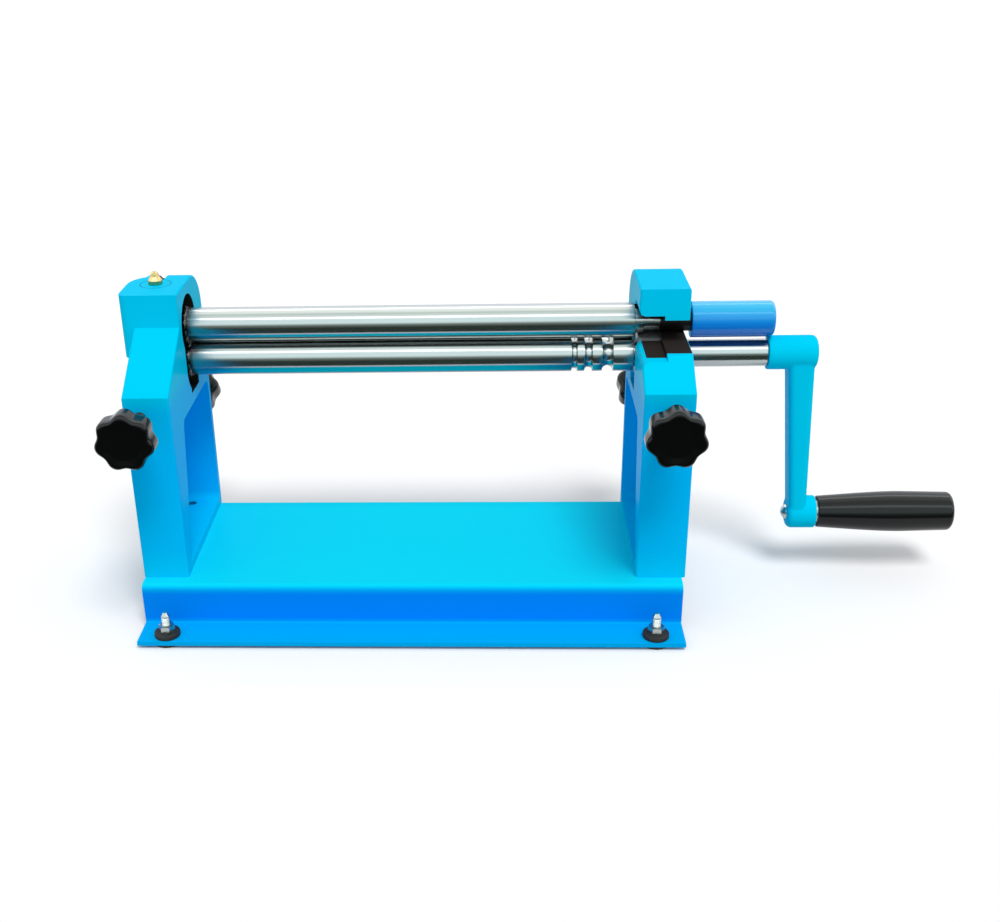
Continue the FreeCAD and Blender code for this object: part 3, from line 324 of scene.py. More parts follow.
@dataclass(frozen=True)
class Recess:
    """A square-sided recess, by its two corners in metres of the frame."""

    low: tuple[float, float, float]
    high: tuple[float, float, float]

    def mask(self, tree: Tree, spread: Node) -> Socket:
        """Give one inside the recess.

        Args:
            tree: The material's tree.
            spread: The separated Object coordinates.

        Returns:
            One between the two corners, otherwise nought.
        """
        inside = [
            within(tree, spread.outputs[axis], self.low[axis], self.high[axis])
            for axis in range(3)
        ]
        return both(tree, both(tree, inside[0], inside[1]), inside[2])


@dataclass(frozen=True)
class Seam:
    """The ring-shaped line where an upright round insert meets the casting, in metres."""

    centre: tuple[float, float]
    radius: float
    width: float
    low: float
    high: float

    def mask(self, tree: Tree, spread: Node) -> Socket:
        """Give one on the line.

        Args:
            tree: The material's tree.
            spread: The separated Object coordinates.

        Returns:
            One within half the line's width of its circle, otherwise nought.
        """
        reach = from_line(tree, spread, "XY", (*self.centre, 0.0))
        half = self.width / 2
        return both(
            tree, within(tree, reach, self.radius - half, self.radius + half),
            within(tree, spread.outputs["Z"], self.low, self.high),
        )


def from_line(tree: Tree, spread: Node, across: str, foot: tuple[float, ...]) -> Socket:
    """Measure the distance from a line that runs along an axis.

    Args:
        tree: The material's tree.
        spread: The separated Object coordinates.
        across: The two axes square to the line, such as "YZ".
        foot: A point of the line, nought along the line itself.

    Returns:
        The distance in metres.
    """
    flat = add_node(
        tree, "ShaderNodeCombineXYZ", links={axis: spread.outputs[axis] for axis in across}
    ).outputs["Vector"]
    return add_node(
        tree, "ShaderNodeVectorMath", {"operation": "DISTANCE", 1: foot}, {0: flat}
    ).outputs["Value"]


def within(tree: Tree, value: Socket, start: float, end: float) -> Socket:
    """Give one where a value lies between two bounds."""
    return add_node(
        tree, "ShaderNodeMath",
        {"operation": "COMPARE", 1: (start + end) / 2, 2: abs(end - start) / 2}, {0: value},
    ).outputs[0]


def both(tree: Tree, first: Socket, second: Socket) -> Socket:
    """Give the product of two masks."""
    return add_node(
        tree, "ShaderNodeMath", {"operation": "MULTIPLY"}, {0: first, 1: second}
    ).outputs[0]


@dataclass(frozen=True)
class Enamel(Finish):
    """Sprayed gloss enamel on iron and steel: saturated, with soft waves in its skin.

    Where it has shading by height, its colour follows the height above the bench: painted light
    and shade.
    """

    slot: Slot = Slot.ENAMEL
    colour: str = "#00CFF3"
    shade: str = "#00C9EF"
    roughness: float = 0.3
    patch: float = 60.0
    grain: float = 3.0
    relief: float = 0.008
    gloss_spread: float = 0.03
    shader_settings: tuple[tuple[str, float], ...] = (("IOR", 1.035),)
    # painted light and shade: colours by height above the bench, in millimetres
    shade_by_height: tuple[tuple[float, str], ...] = ()
    span: float = 240.0

    def tint(self, tree: Tree, where: Socket) -> Socket:
        """Paint light and shade up the piece by its height.

        Args:
            tree: The material's tree.
            where: Object coordinates.

        Returns:
            The colour with painted light and shade for a height above the bench, or soft patches
            where there is no shading by height.
        """
        if not self.shade_by_height:
            return super().tint(tree, where)
        height = add_node(tree, "ShaderNodeSeparateXYZ", links={"Vector": where}).outputs["Z"]
        share = add_node(
            tree, "ShaderNodeMapRange", {"From Max": self.span * MM}, {"Value": height}
        ).outputs["Result"]
        stops = [(level / self.span, linear(colour)) for level, colour in self.shade_by_height]
        return ramp(tree, share, stops)


@dataclass(frozen=True)
class BoredEnamel(Enamel):
    """Enamel on a casting whose bores were machined later and stay bare; they are painted
    near-black, the bare iron darkened with painted shade.
    """

    # bare iron darkened with painted shade, for the insides of bores and recesses
    bare_iron_in_shade: str = "#2E2A28"
    line: str = "#0079B8"
    machined: tuple[Bore | Recess, ...] = ()
    seams: tuple[Seam, ...] = ()

    def tint(self, tree: Tree, where: Socket) -> Socket:
        """Keep the paint outside everything that was machined, and paint those places near-black
        as bare iron with painted shade.

        Args:
            tree: The material's tree.
            where: Object coordinates.

        Returns:
            Paint, a darker line on a seam, or near-black inside a bore or recess: bare iron with
            painted shade.
        """
        colour = super().tint(tree, where)
        spread = add_node(tree, "ShaderNodeSeparateXYZ", links={"Vector": where})
        marks = [(seam, self.line) for seam in self.seams]
        marks += [(place, self.bare_iron_in_shade) for place in self.machined]
        for place, shade in marks:
            colour = add_node(
                tree, "ShaderNodeMix", {"data_type": "RGBA", 7: linear(shade)},
                {0: place.mask(tree, spread), 6: colour},
            ).outputs[2]
        return colour


# Gloss enamel over cast iron: one saturated cyan blue, with the soft waviness of spray. Its
# IOR is low, so that a grazing view doesn't wash it pale.
ENAMEL = Enamel("sky_blue_gloss_enamel")
# The same enamel on the bent base, with painted light and shade by height: painted light on its
# top, painted shade on the webs, the flanges between.
BASE_ENAMEL = Enamel(
    "base_sheet_enamel",
    shade_by_height=(
        (0.0, "#00ACF0"), (6.0, "#00ACF0"), (9.5, "#018EF8"), (28.0, "#018AF8"),
        (32.5, "#00B4F4"), (34.8, "#08D8F4"),
    ),
    span=40.0,
)
# The release bar carries painted light and shade by height: painted light in cyan on top, painted
# shade in deep blue beneath, under a clear coat that shows the lamps as sharp lines.
BAR_ENAMEL = Enamel(
    "deep_blue_coated_enamel", colour="#0084E0", roughness=0.25, grain=2.0, relief=0.003,
    gloss_spread=0.02,
    shader_settings=(("IOR", 1.2), ("Coat Weight", 0.6), ("Coat Roughness", 0.05)),
    shade_by_height=(
        (183.5, "#0060B8"), (190.0, "#0076D4"), (196.0, "#0084E2"), (201.0, "#0098E2"),
        (205.0, "#18B0E4"), (208.5, "#28B8E6"),
    ),
)
# Ground bar steel, polished along its turn: mirror streaks with faint rings round the roll.
GROUND_STEEL = TurnedMetal(
    "ground_polished_steel", Slot.ROLL_STEEL, "#B4B8B6", "#ACB0AE", roughness=0.2,
    metallic=1.0, patch=80, grain=0.9, relief=0.004, stretch=(1.0, 30.0, 30.0),
    gloss_spread=0.05,
    shader_settings=(("Anisotropic", 0.9), ("Anisotropic Rotation", 0.25)),
)
# Milled and turned steel, lightly oiled: greyer and duller than the rolls.
MACHINED_STEEL = Finish(
    "machined_steel", Slot.MACHINED_STEEL, "#6C6E6D", "#585B5A", roughness=0.36,
    metallic=1.0, patch=12, grain=0.7, relief=0.01,
)
# The same steel on gears and screws, black with old oil between teeth and threads.
OILED_STEEL = Finish(
    "oil_blackened_steel", Slot.MACHINED_STEEL, "#3E403F", "#242525", roughness=0.3,
    metallic=1.0, patch=3, grain=0.7, relief=0.008,
)
# Bright zinc plate: pale, slightly blue and cloudy.
ZINC_PLATE = Finish(
    "bright_zinc_plate", Slot.ZINC, "#BEC2C0", "#A9AFA9", roughness=0.25, metallic=1.0,
    patch=5, grain=0.6, relief=0.006,
)
# Black oxide on steel: nearly black, with a dull oily shine.
BLACK_OXIDE = Finish(
    "black_oxide_steel", Slot.BLACK_OXIDE, "#1F1F20", "#2A2725", roughness=0.38,
    metallic=0.7, patch=8, grain=0.6, relief=0.006,
)
# Compression-moulded phenolic: deep black with a wet gloss, which a slightly low IOR keeps
# from greying.
PHENOLIC = Finish(
    "moulded_black_phenolic", Slot.BLACK_PLASTIC, "#050606", "#090A0A", roughness=0.16,
    patch=18, grain=1.6, relief=0.012, gloss_spread=0.04,
    shader_settings=(("IOR", 1.35),),
)
# Moulded rubber: matt black that goes grey where it is rubbed.
RUBBER = Finish(
    "moulded_black_rubber", Slot.RUBBER, "#101111", "#191A1A", roughness=0.72,
    patch=4, grain=0.4, relief=0.03,
)
# Turned brass: warm yellow with a soft shine.
BRASS = Finish(
    "turned_brass", Slot.BRASS, "#CFB986", "#B89F6C", roughness=0.28, metallic=1.0,
    patch=4, grain=0.5, relief=0.005,
)
# Oil-soaked bronze: brown, half dull.
BRONZE = Finish(
    "oiled_bronze", Slot.BRONZE, "#9A6B3C", "#7E5630", roughness=0.42, metallic=1.0,
    patch=4, grain=0.5, relief=0.01,
)


# ---------------------------------------------------------------- places read from the frame

def middle(node: str) -> Vector:
    """Give the middle of a node's box, in metres."""
    low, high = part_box(node)
    return (low + high) / 2


def extent(node: str) -> Vector:
    """Give the three lengths of a node's box, in millimetres."""
    low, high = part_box(node)
    return (high - low) / MM


@dataclass(frozen=True)
class Layout:
    """Where the machine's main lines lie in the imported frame, in metres."""

    inner_left: float
    inner_right: float
    upper_axis: Vector
    lower_axis: Vector
    rear_axis: Vector

    @classmethod
    def read(cls) -> "Layout":
        """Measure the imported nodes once."""
        return cls(
            inner_left=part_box("left_side_frame")[1].x,
            inner_right=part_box("right_side_frame")[0].x,
            upper_axis=middle("upper_roll"),
            lower_axis=middle("lower_roll"),
            rear_axis=middle("rear_roll"),
        )

    @property
    def mid_span(self) -> float:
        """Give the place halfway between the side frames."""
        return (self.inner_left + self.inner_right) / 2


LAYOUT = Layout.read()


# ---------------------------------------------------------------- shapes

def eased(corners: Sequence[Corner], segments: int = 6, closed: bool = False) -> Profile:
    """Round the corners of a profile.

    Args:
        corners: Points (along, radius), with a third value where a corner is rounded.
        segments: Chords in each rounding.
        closed: Whether the last corner joins the first.

    Returns:
        The profile's points in order.
    """
    points: Profile = []
    count = len(corners)
    for index, corner in enumerate(corners):
        here = Vector(corner[:2])
        is_end = not closed and index in (0, count - 1)
        if len(corner) < 3 or is_end:
            points.append((here.x, here.y))
            continue
        before = Vector(corners[index - 1][:2])
        after = Vector(corners[(index + 1) % count][:2])
        inward = (here - before).normalized()
        outward = (after - here).normalized()
        turn = inward.angle(outward)
        reach = corner[2] * math.tan(turn / 2)
        start = here - inward * reach
        side = 1 if inward.cross(outward) > 0 else -1
        centre = start + Vector((-inward.y, inward.x)) * side * corner[2]
        spoke = start - centre
        for step in range(segments + 1):
            swung = centre + Matrix.Rotation(side * turn * step / segments, 2) @ spoke
            points.append((swung.x, swung.y))
    return points


def turned(
    profile: Profile, place: Matrix, steps: int = ROUND_STEPS, closed: bool = False
) -> Shape:
    """Spin a profile round the X axis and move the turning to its place.

    Args:
        profile: Points (along, radius) in millimetres.
        place: Where the turning's own zero and X axis go.
        steps: Facets round the turn.
        closed: Whether the profile is a loop, as for a ring.

    Returns:
        A closed surface.
    """
    shape = bmesh.new()
    points = [shape.verts.new((along * MM, radius * MM, 0)) for along, radius in profile]
    pairs = list(zip(points, points[1:]))
    if closed:
        pairs.append((points[-1], points[0]))
    edges = [shape.edges.new(pair) for pair in pairs]
    bmesh.ops.spin(
        shape, geom=points + edges, cent=(0, 0, 0), axis=(1, 0, 0),
        angle=FULL_TURN, steps=steps, use_merge=True,
    )
    tidy(shape)
    return placed(shape, place)


def tidy(shape: Shape) -> None:
    """Merge doubles and turn the faces outwards.

    Args:
        shape: The mesh, changed in place.
    """
    bmesh.ops.remove_doubles(shape, verts=shape.verts, dist=MERGE_DISTANCE)
    bmesh.ops.dissolve_degenerate(shape, edges=shape.edges, dist=MERGE_DISTANCE)
    bmesh.ops.recalc_face_normals(shape, faces=shape.faces)


def placed(shape: Shape, place: Matrix) -> Shape:
    """Move a shape to its place and hand it back."""
    bmesh.ops.transform(shape, matrix=place, verts=shape.verts)
    return shape


def threaded(start: float, end: float, radius: float, pitch: float, depth: float) -> Profile:
    """Give the crests and roots of a thread between two stations.

    The crests are rings in place of the helix, whose lead is too fine to see.

    Args:
        start: First station.
        end: Last station.
        radius: Radius over the crests.
        pitch: Distance between crests.
        depth: Crest to root.

    Returns:
        Points (along, radius).
    """
    turns = max(1, int((end - start) / pitch))
    points: Profile = []
    for turn in range(turns):
        along = start + turn * pitch
        points += [
            (along, radius - depth), (along + pitch * CREST_START, radius),
            (along + pitch * CREST_END, radius),
        ]
    points.append((end, radius - depth))
    return points


def lay_along(direction: Sequence[float], origin: Sequence[float] = (0, 0, 0)) -> Matrix:
    """Turn the X axis to a direction and move the zero to an origin."""
    turn = Vector((1, 0, 0)).rotation_difference(Vector(direction))
    return Matrix.Translation(origin) @ turn.to_matrix().to_4x4()


def along_rolls(start: float, axis: Vector) -> Matrix:
    """Put a turning on an axis that runs along the rolls, its zero at start metres."""
    return Matrix.Translation((start, axis.y, axis.z))


def linked(shape: Shape, name: str) -> bpy.types.Object:
    """Make a shape an object of the scene, and free it.

    Args:
        shape: The mesh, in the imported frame.
        name: The object's name.

    Returns:
        The new object.
    """
    mesh = bpy.data.meshes.new(name)
    shape.to_mesh(mesh)
    shape.free()
    made = bpy.data.objects.new(name, mesh)
    bpy.context.scene.collection.objects.link(made)
    return made


def finished(shape: Shape, name: str, finish: Finish, *nodes: str) -> None:
    """Make a shape the visible piece that stands for some CAD nodes.

    Args:
        shape: The mesh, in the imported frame. It is freed.
        name: The piece's name.
        finish: Its finish.
        *nodes: The nodes that it replaces; it rides on the first one's body.
    """
    piece = linked(shape, name)
    mesh = piece.data
    mesh.polygons.foreach_set("use_smooth", [True] * len(mesh.polygons))
    mesh.set_sharp_from_angle(angle=SHARP_ANGLE)
    mesh.materials.append(finish.material())
    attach(piece, frame["nodes"][nodes[0]]["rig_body"])
    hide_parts(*nodes)
    log.info("%s: %d faces for %s", name, len(mesh.polygons), ", ".join(nodes))


def dress(finish: Finish, *nodes: str) -> None:
    """Give carried-over CAD nodes a finish.

    Args:
        finish: The finish.
        *nodes: The nodes' names.
    """
    for node in nodes:
        carried = frame["nodes"][node]
        carried.data.materials.clear()
        carried.data.materials.append(finish.material())
        log.info("%s: CAD node in %s", node, finish.name)


# ---------------------------------------------------------------- base and feet

@dataclass
class Base:
    """The bent sheet base on its four studded feet."""

    pad_radius: float = 9.0
    pad_edge: float = 0.8
    nut_flats: float = 10.0
    nut_chamfer: float = 30.0
    nut_land: float = 0.3
    nut_facets: int = 72
    nut_flat_share: float = 0.96    # of half the width over flats, where the ends are level
    stud_radius: float = 3.0
    thread_pitch: float = 1.0
    thread_depth: float = 0.35
    tip_length: float = 2.4
    tip_radius: float = 1.4

    def build(self) -> None:
        """Dress the sheet and build pads, washers, nuts and studs."""
        dress(BASE_ENAMEL, "base_plate")
        dress(ZINC_PLATE, "frame_bolts", "frame_bolt_washers")
        finished(self.discs("foot_pads"), "pads_under_feet", RUBBER, "foot_pads")
        finished(self.discs("foot_washers"), "rubber_washers", RUBBER, "foot_washers")
        finished(self.nuts(), "chamfered_foot_nuts", ZINC_PLATE, "foot_nuts")
        finished(self.studs(), "threaded_foot_studs", ZINC_PLATE, "foot_studs")

    def on_each_foot(self, node: str, shape: Shape) -> Shape:
        """Stand copies of a shape at the four feet, its zero at the node's underside.

        Args:
            node: The CAD node whose pieces the copies stand for.
            shape: The shape, standing over its own zero. It is freed.

        Returns:
            The four copies in one mesh.
        """
        low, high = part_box("foot_pads")
        inset = self.pad_radius * MM
        row = bmesh.new()
        carrier = bpy.data.meshes.new("carrier")
        for x in (low.x + inset, high.x - inset):
            for y in (low.y + inset, high.y - inset):
                place = Matrix.Translation((x, y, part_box(node)[0].z))
                foot = placed(shape.copy(), place)
                foot.to_mesh(carrier)
                row.from_mesh(carrier)
                foot.free()
        bpy.data.meshes.remove(carrier)
        shape.free()
        return row

    def discs(self, node: str) -> Shape:
        """Turn the rubber discs of one node, their rims rounded by the mould.

        Args:
            node: The CAD node.

        Returns:
            The four discs.
        """
        height = extent(node).z
        profile = eased([
            (0, 0), (0, self.pad_radius, self.pad_edge),
            (height, self.pad_radius, self.pad_edge), (height, 0),
        ])
        return self.on_each_foot(node, turned(profile, lay_along((0, 0, 1)), SMALL_STEPS))

    def nuts(self) -> Shape:
        """Build the hexagon nuts without their bores, which the studs fill.

        Returns:
            The four nuts, their corners chamfered at both ends.
        """
        slope = math.tan(math.radians(self.nut_chamfer))
        apothem = self.nut_flats / 2 * MM
        top = extent("foot_nuts").z * MM
        nut = bmesh.new()
        bmesh.ops.create_circle(nut, cap_ends=True, segments=self.nut_facets, radius=apothem)
        flat = FULL_TURN / 6
        for vert in nut.verts:
            angle = math.atan2(vert.co.y, vert.co.x) % flat - flat / 2
            vert.co *= 1 / math.cos(angle)
        grown = bmesh.ops.extrude_face_region(nut, geom=nut.faces[:])["geom"]
        raised = [item for item in grown if isinstance(item, bmesh.types.BMVert)]
        bmesh.ops.translate(nut, vec=(0, 0, top), verts=raised)
        for vert in nut.verts:
            spare = max(0.0, vert.co.xy.length - apothem) * slope
            vert.co.z += spare if vert.co.z < top / 2 else -spare
        ends = [face for face in nut.faces if abs(face.normal.z) > LEVEL]
        inset = bmesh.ops.inset_region(nut, faces=ends, thickness=self.nut_land * MM)
        for vert in {vert for face in inset["faces"] for vert in face.verts}:
            if vert.co.xy.length < apothem * self.nut_flat_share:
                vert.co.z = 0.0 if vert.co.z < top / 2 else top
        tidy(nut)
        return self.on_each_foot("foot_nuts", nut)

    def studs(self) -> Shape:
        """Turn the studs: a thread above the flange and a coned tip.

        Returns:
            The four studs.
        """
        length = extent("foot_studs").z
        top_of_nut = (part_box("foot_nuts")[1].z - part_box("foot_studs")[0].z) / MM
        profile = [
            (0, 0), (0, self.stud_radius), (top_of_nut - self.thread_depth, self.stud_radius),
            *threaded(
                top_of_nut, length - self.tip_length, self.stud_radius,
                self.thread_pitch, self.thread_depth,
            ),
            (length, self.tip_radius), (length, 0),
        ]
        return self.on_each_foot("foot_studs", turned(profile, lay_along((0, 0, 1)), SMALL_STEPS))


# ---------------------------------------------------------------- side frames

@dataclass
class SideFrames:
    """The two cast side frames and what stands in the left head.

    Recesses kept free of paint are 0.05 to 0.2 mm larger than the hollows in the castings, so
    that the hollows' walls lie inside them. Inside they are painted near-black: bare iron with
    painted shade.
    """

    gear_chamber_depth: float = 9.0
    gear_hole_radius: float = 22.05
    lower_slot_radius: float = 19.05
    lower_slot_drop: float = 4.0
    chamber_half: float = 12.6
    chamber_top: float = 10.9
    chamber_floor: float = 23.1
    chamber_depth: float = 27.2
    slot_step: float = 17.0
    slot_half_inner: float = 11.35
    slot_half_outer: float = 8.35
    # how far forward of the roll axis the slot is painted near-black: bare iron with painted
    # shade
    slot_bare_shaded: float = 48.0
    stop_half: float = 3.6
    stop_depth: float = 6.1
    seam_width: float = 0.7
    skin: float = 0.2
    # painted light and shade by height: painted shade on the legs' middles under the knobs,
    # painted light on the heads and tops
    shade_by_height: tuple[tuple[float, str], ...] = (
        (0.0, "#00C8F8"), (38.0, "#00C8F8"), (57.0, "#00BFFC"), (118.0, "#00B9FE"),
        (160.0, "#00BEFA"), (172.0, "#00CCF3"), (202.0, "#00CCF3"), (232.0, "#00C8F4"),
        (235.0, "#00D3F5"),
    )
    # Corners (height, radius, rounding): the foot's from its underside, the cap's from its top.
    oiler_foot: tuple[Corner, ...] = (
        (0, 0), (0, 2.5), (7.0, 2.5), (7.0, 5.0, 0.4), (9.9, 5.0, 0.7), (12.6, 3.2, 1.4),
    )
    oiler_cap: tuple[Corner, ...] = ((-1.2, 2.6, 1.1), (0, 1.1, 0.4), (0, 0))

    def build(self) -> None:
        """Dress the castings, the trunnion and the oiler."""
        dress(self.left_enamel(), "left_side_frame")
        dress(self.right_enamel(), "right_side_frame")
        dress(self.bored("trunnion_enamel", seams=(self.trunnion_seam(),)), "swivel_trunnion")
        finished(self.oiler(), "ball_oiler", BRASS, "oiler")

    def trunnion_seam(self) -> Seam:
        """Find the cracked paint line round the trunnion, on the head's top.

        Returns:
            The line, as deep above and below the top as it is wide.
        """
        centre, top = middle("swivel_trunnion"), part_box("swivel_trunnion")[1].z
        width = self.seam_width * MM
        radius = extent("swivel_trunnion").x / 2 * MM
        return Seam((centre.x, centre.y), radius, width, top - width, top + width)

    def left_enamel(self) -> BoredEnamel:
        """Paint the left casting outside its gear chamber, block guide and stop slot, which are
        painted near-black as bare iron with painted shade.

        Returns:
            The casting's enamel.
        """
        upper, lower = LAYOUT.upper_axis, LAYOUT.lower_axis
        skin = self.skin * MM
        end = LAYOUT.inner_left - skin
        start = LAYOUT.inner_left - self.gear_chamber_depth * MM
        half = self.chamber_half * MM
        stop_half = self.stop_half * MM
        back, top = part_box("left_side_frame")[1].yz
        screw_line = middle("swivel_trunnion").x
        gear, slot = self.gear_hole_radius * MM, self.lower_slot_radius * MM
        return self.bored("left_casting_enamel", (
            Bore(start, end, upper.y, upper.z, gear),
            Bore(start, end, lower.y, lower.z, slot),
            Bore(start, end, lower.y, lower.z - self.lower_slot_drop * MM, slot),
            Recess(
                (LAYOUT.inner_left - self.chamber_depth * MM, lower.y - half,
                 lower.z - self.chamber_floor * MM),
                (end, lower.y + half, lower.z + self.chamber_top * MM),
            ),
            Recess(
                (screw_line - stop_half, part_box("swivel_trunnion")[0].y,
                 top - self.stop_depth * MM),
                (screw_line + stop_half, back, top - skin),
            ),
        ), (self.trunnion_seam(),))

    def right_enamel(self) -> BoredEnamel:
        """Paint the right casting outside the slot that the roll swings out of, which is painted
        near-black as bare iron with painted shade.

        Returns:
            The casting's enamel.
        """
        upper = LAYOUT.upper_axis
        skin = self.skin * MM
        low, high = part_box("right_side_frame")
        step = LAYOUT.inner_right + self.slot_step * MM
        front = upper.y - self.slot_bare_shaded * MM
        places: list[Bore | Recess] = []
        for start, end, width in (
            (low.x + skin, step + skin, self.slot_half_inner),
            (step, high.x - skin, self.slot_half_outer),
        ):
            half = width * MM
            places += [
                Bore(start, end, upper.y, upper.z, half),
                Recess((start, front, upper.z - half), (end, upper.y, upper.z + half)),
            ]
        return self.bored("right_casting_enamel", tuple(places))

    def bored(
        self, name: str, machined: tuple[Bore | Recess, ...] = (), seams: tuple[Seam, ...] = ()
    ) -> BoredEnamel:
        """Give the castings' enamel with recesses painted near-black as bare iron with painted
        shade, and cracked seams.
        """
        return BoredEnamel(name, machined=machined, seams=seams, shade_by_height=self.shade_by_height)

    def oiler(self) -> Shape:
        """Turn the oiler: stem, wide foot and a cone that eases into a small domed cap.

        Returns:
            The oiler, standing in its hole.
        """
        height = extent("oiler").z
        cap = [(height + above, *rest) for above, *rest in self.oiler_cap]
        foot = middle("oiler")
        foot.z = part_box("oiler")[0].z
        return turned(eased([*self.oiler_foot, *cap]), lay_along((0, 0, 1), foot), SMALL_STEPS)


# ---------------------------------------------------------------- rolls and gears

@dataclass(frozen=True)
class RollEnds:
    """A roll's two stepped ends, as corners (along, radius, rounding) from mid-span."""

    left: tuple[Corner, ...]
    right: tuple[Corner, ...]


@dataclass
class Rolls:
    """The pinch pair, the rear bending roll and the gears at their left end."""

    radius: float = 12.1
    half_length: float = 156.2
    collar: float = 9.0
    end_chamfer: float = 0.5
    groove_edge: float = 0.35
    groove_steps: int = 12
    grooves: tuple[tuple[float, float], ...] = ((40.8, 2.0), (31.0, 2.7), (17.7, 3.8))
    # The upper roll steps down into the black bush, the lower one carries the crank.
    upper: RollEnds = RollEnds(
        left=(
            (-186.0, 0), (-186.0, 5.2, 0.4), (-163.8, 5.2), (-163.8, 7.0), (-158.0, 7.0),
            (-158.0, 9.0),
        ),
        right=(
            (162.667, 9.0, 0.4), (162.667, 7.5), (174.0, 7.5, 0.3), (174.0, 5.5),
            (203.9, 5.5, 0.4), (203.9, 0),
        ),
    )
    lower: RollEnds = RollEnds(
        left=((-183.7, 0), (-183.7, 7.0, 0.5), (-158.0, 7.0), (-158.0, 9.0)),
        right=((158.7, 9.0), (158.7, 7.0), (279.5, 7.0, 0.5), (279.5, 0)),
    )
    rear: RollEnds = RollEnds(
        left=((-183.7, 0), (-183.7, 4.5, 0.4), (-156.9, 4.5), (-156.9, 9.0)),
        right=((156.9, 9.0), (156.9, 4.5), (185.7, 4.5, 0.4), (185.7, 0)),
    )

    def build(self) -> None:
        """Turn the three rolls and dress the gears."""
        for name, node, ends, axis, grooves in (
            ("upper_pinch_roll", "upper_roll", self.upper, LAYOUT.upper_axis, ()),
            ("lower_pinch_roll", "lower_roll", self.lower, LAYOUT.lower_axis, self.grooves),
            ("rear_bending_roll", "rear_roll", self.rear, LAYOUT.rear_axis, self.grooves),
        ):
            profile = eased([
                *ends.left, (-self.half_length, self.collar), *self.barrel(grooves),
                (self.half_length, self.collar), *ends.right,
            ])
            roll = turned(profile, along_rolls(LAYOUT.mid_span, axis))
            finished(roll, name, GROUND_STEEL, node)
        dress(OILED_STEEL, "upper_gear", "lower_gear", "upper_gear_key", "lower_gear_key")

    def barrel(self, grooves: Sequence[tuple[float, float]]) -> list[Corner]:
        """Give a roll's working length.

        Args:
            grooves: Each wire groove's distance from the right end and its radius.

        Returns:
            Corners (along, radius, rounding), the grooves' edges eased.
        """
        corners: list[Corner] = [(-self.half_length, self.radius, self.end_chamfer)]
        for from_end, hollow in grooves:
            centre = self.half_length - from_end
            corners.append((centre - hollow - self.groove_edge, self.radius))
            for step in range(self.groove_steps + 1):
                angle = HALF_TURN * step / self.groove_steps
                corners.append((
                    centre - hollow * math.cos(angle),
                    self.radius - self.groove_edge / 2 - hollow * math.sin(angle),
                ))
            corners.append((centre + hollow + self.groove_edge, self.radius))
        corners.append((self.half_length, self.radius, self.end_chamfer))
        return corners


@dataclass
class ReleaseEnd:
    """The black bush and the blue bar that swing the upper roll out."""

    bar_radius: float = 12.5
    bar_end_round: float = 3.0
    bar_face_round: float = 0.6

    def build(self) -> None:
        """Turn the bar and dress the bushes and the screw."""
        length = extent("release_bar").x
        profile = eased([
            (0, 0), (0, self.bar_radius, self.bar_face_round),
            (length, self.bar_radius, self.bar_end_round), (length, 0),
        ], segments=8)
        bar = turned(profile, along_rolls(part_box("release_bar")[0].x, LAYOUT.upper_axis))
        finished(bar, "blue_release_bar", BAR_ENAMEL, "release_bar")
        dress(BLACK_OXIDE, "upper_right_bush", "release_bar_screw")
        dress(BRONZE, "upper_left_bush")


@dataclass
class Bearings:
    """Blocks, bushes and wedges inside the side frames."""

    def build(self) -> None:
        """Dress what slides in the frames."""
        for side in ("left", "right"):
            dress(
                MACHINED_STEEL, f"lower_{side}_block", f"rear_{side}_block",
                f"front_{side}_wedge",
            )
            dress(BRONZE, f"lower_{side}_bush", f"rear_{side}_bush")


# ---------------------------------------------------------------- hand screws

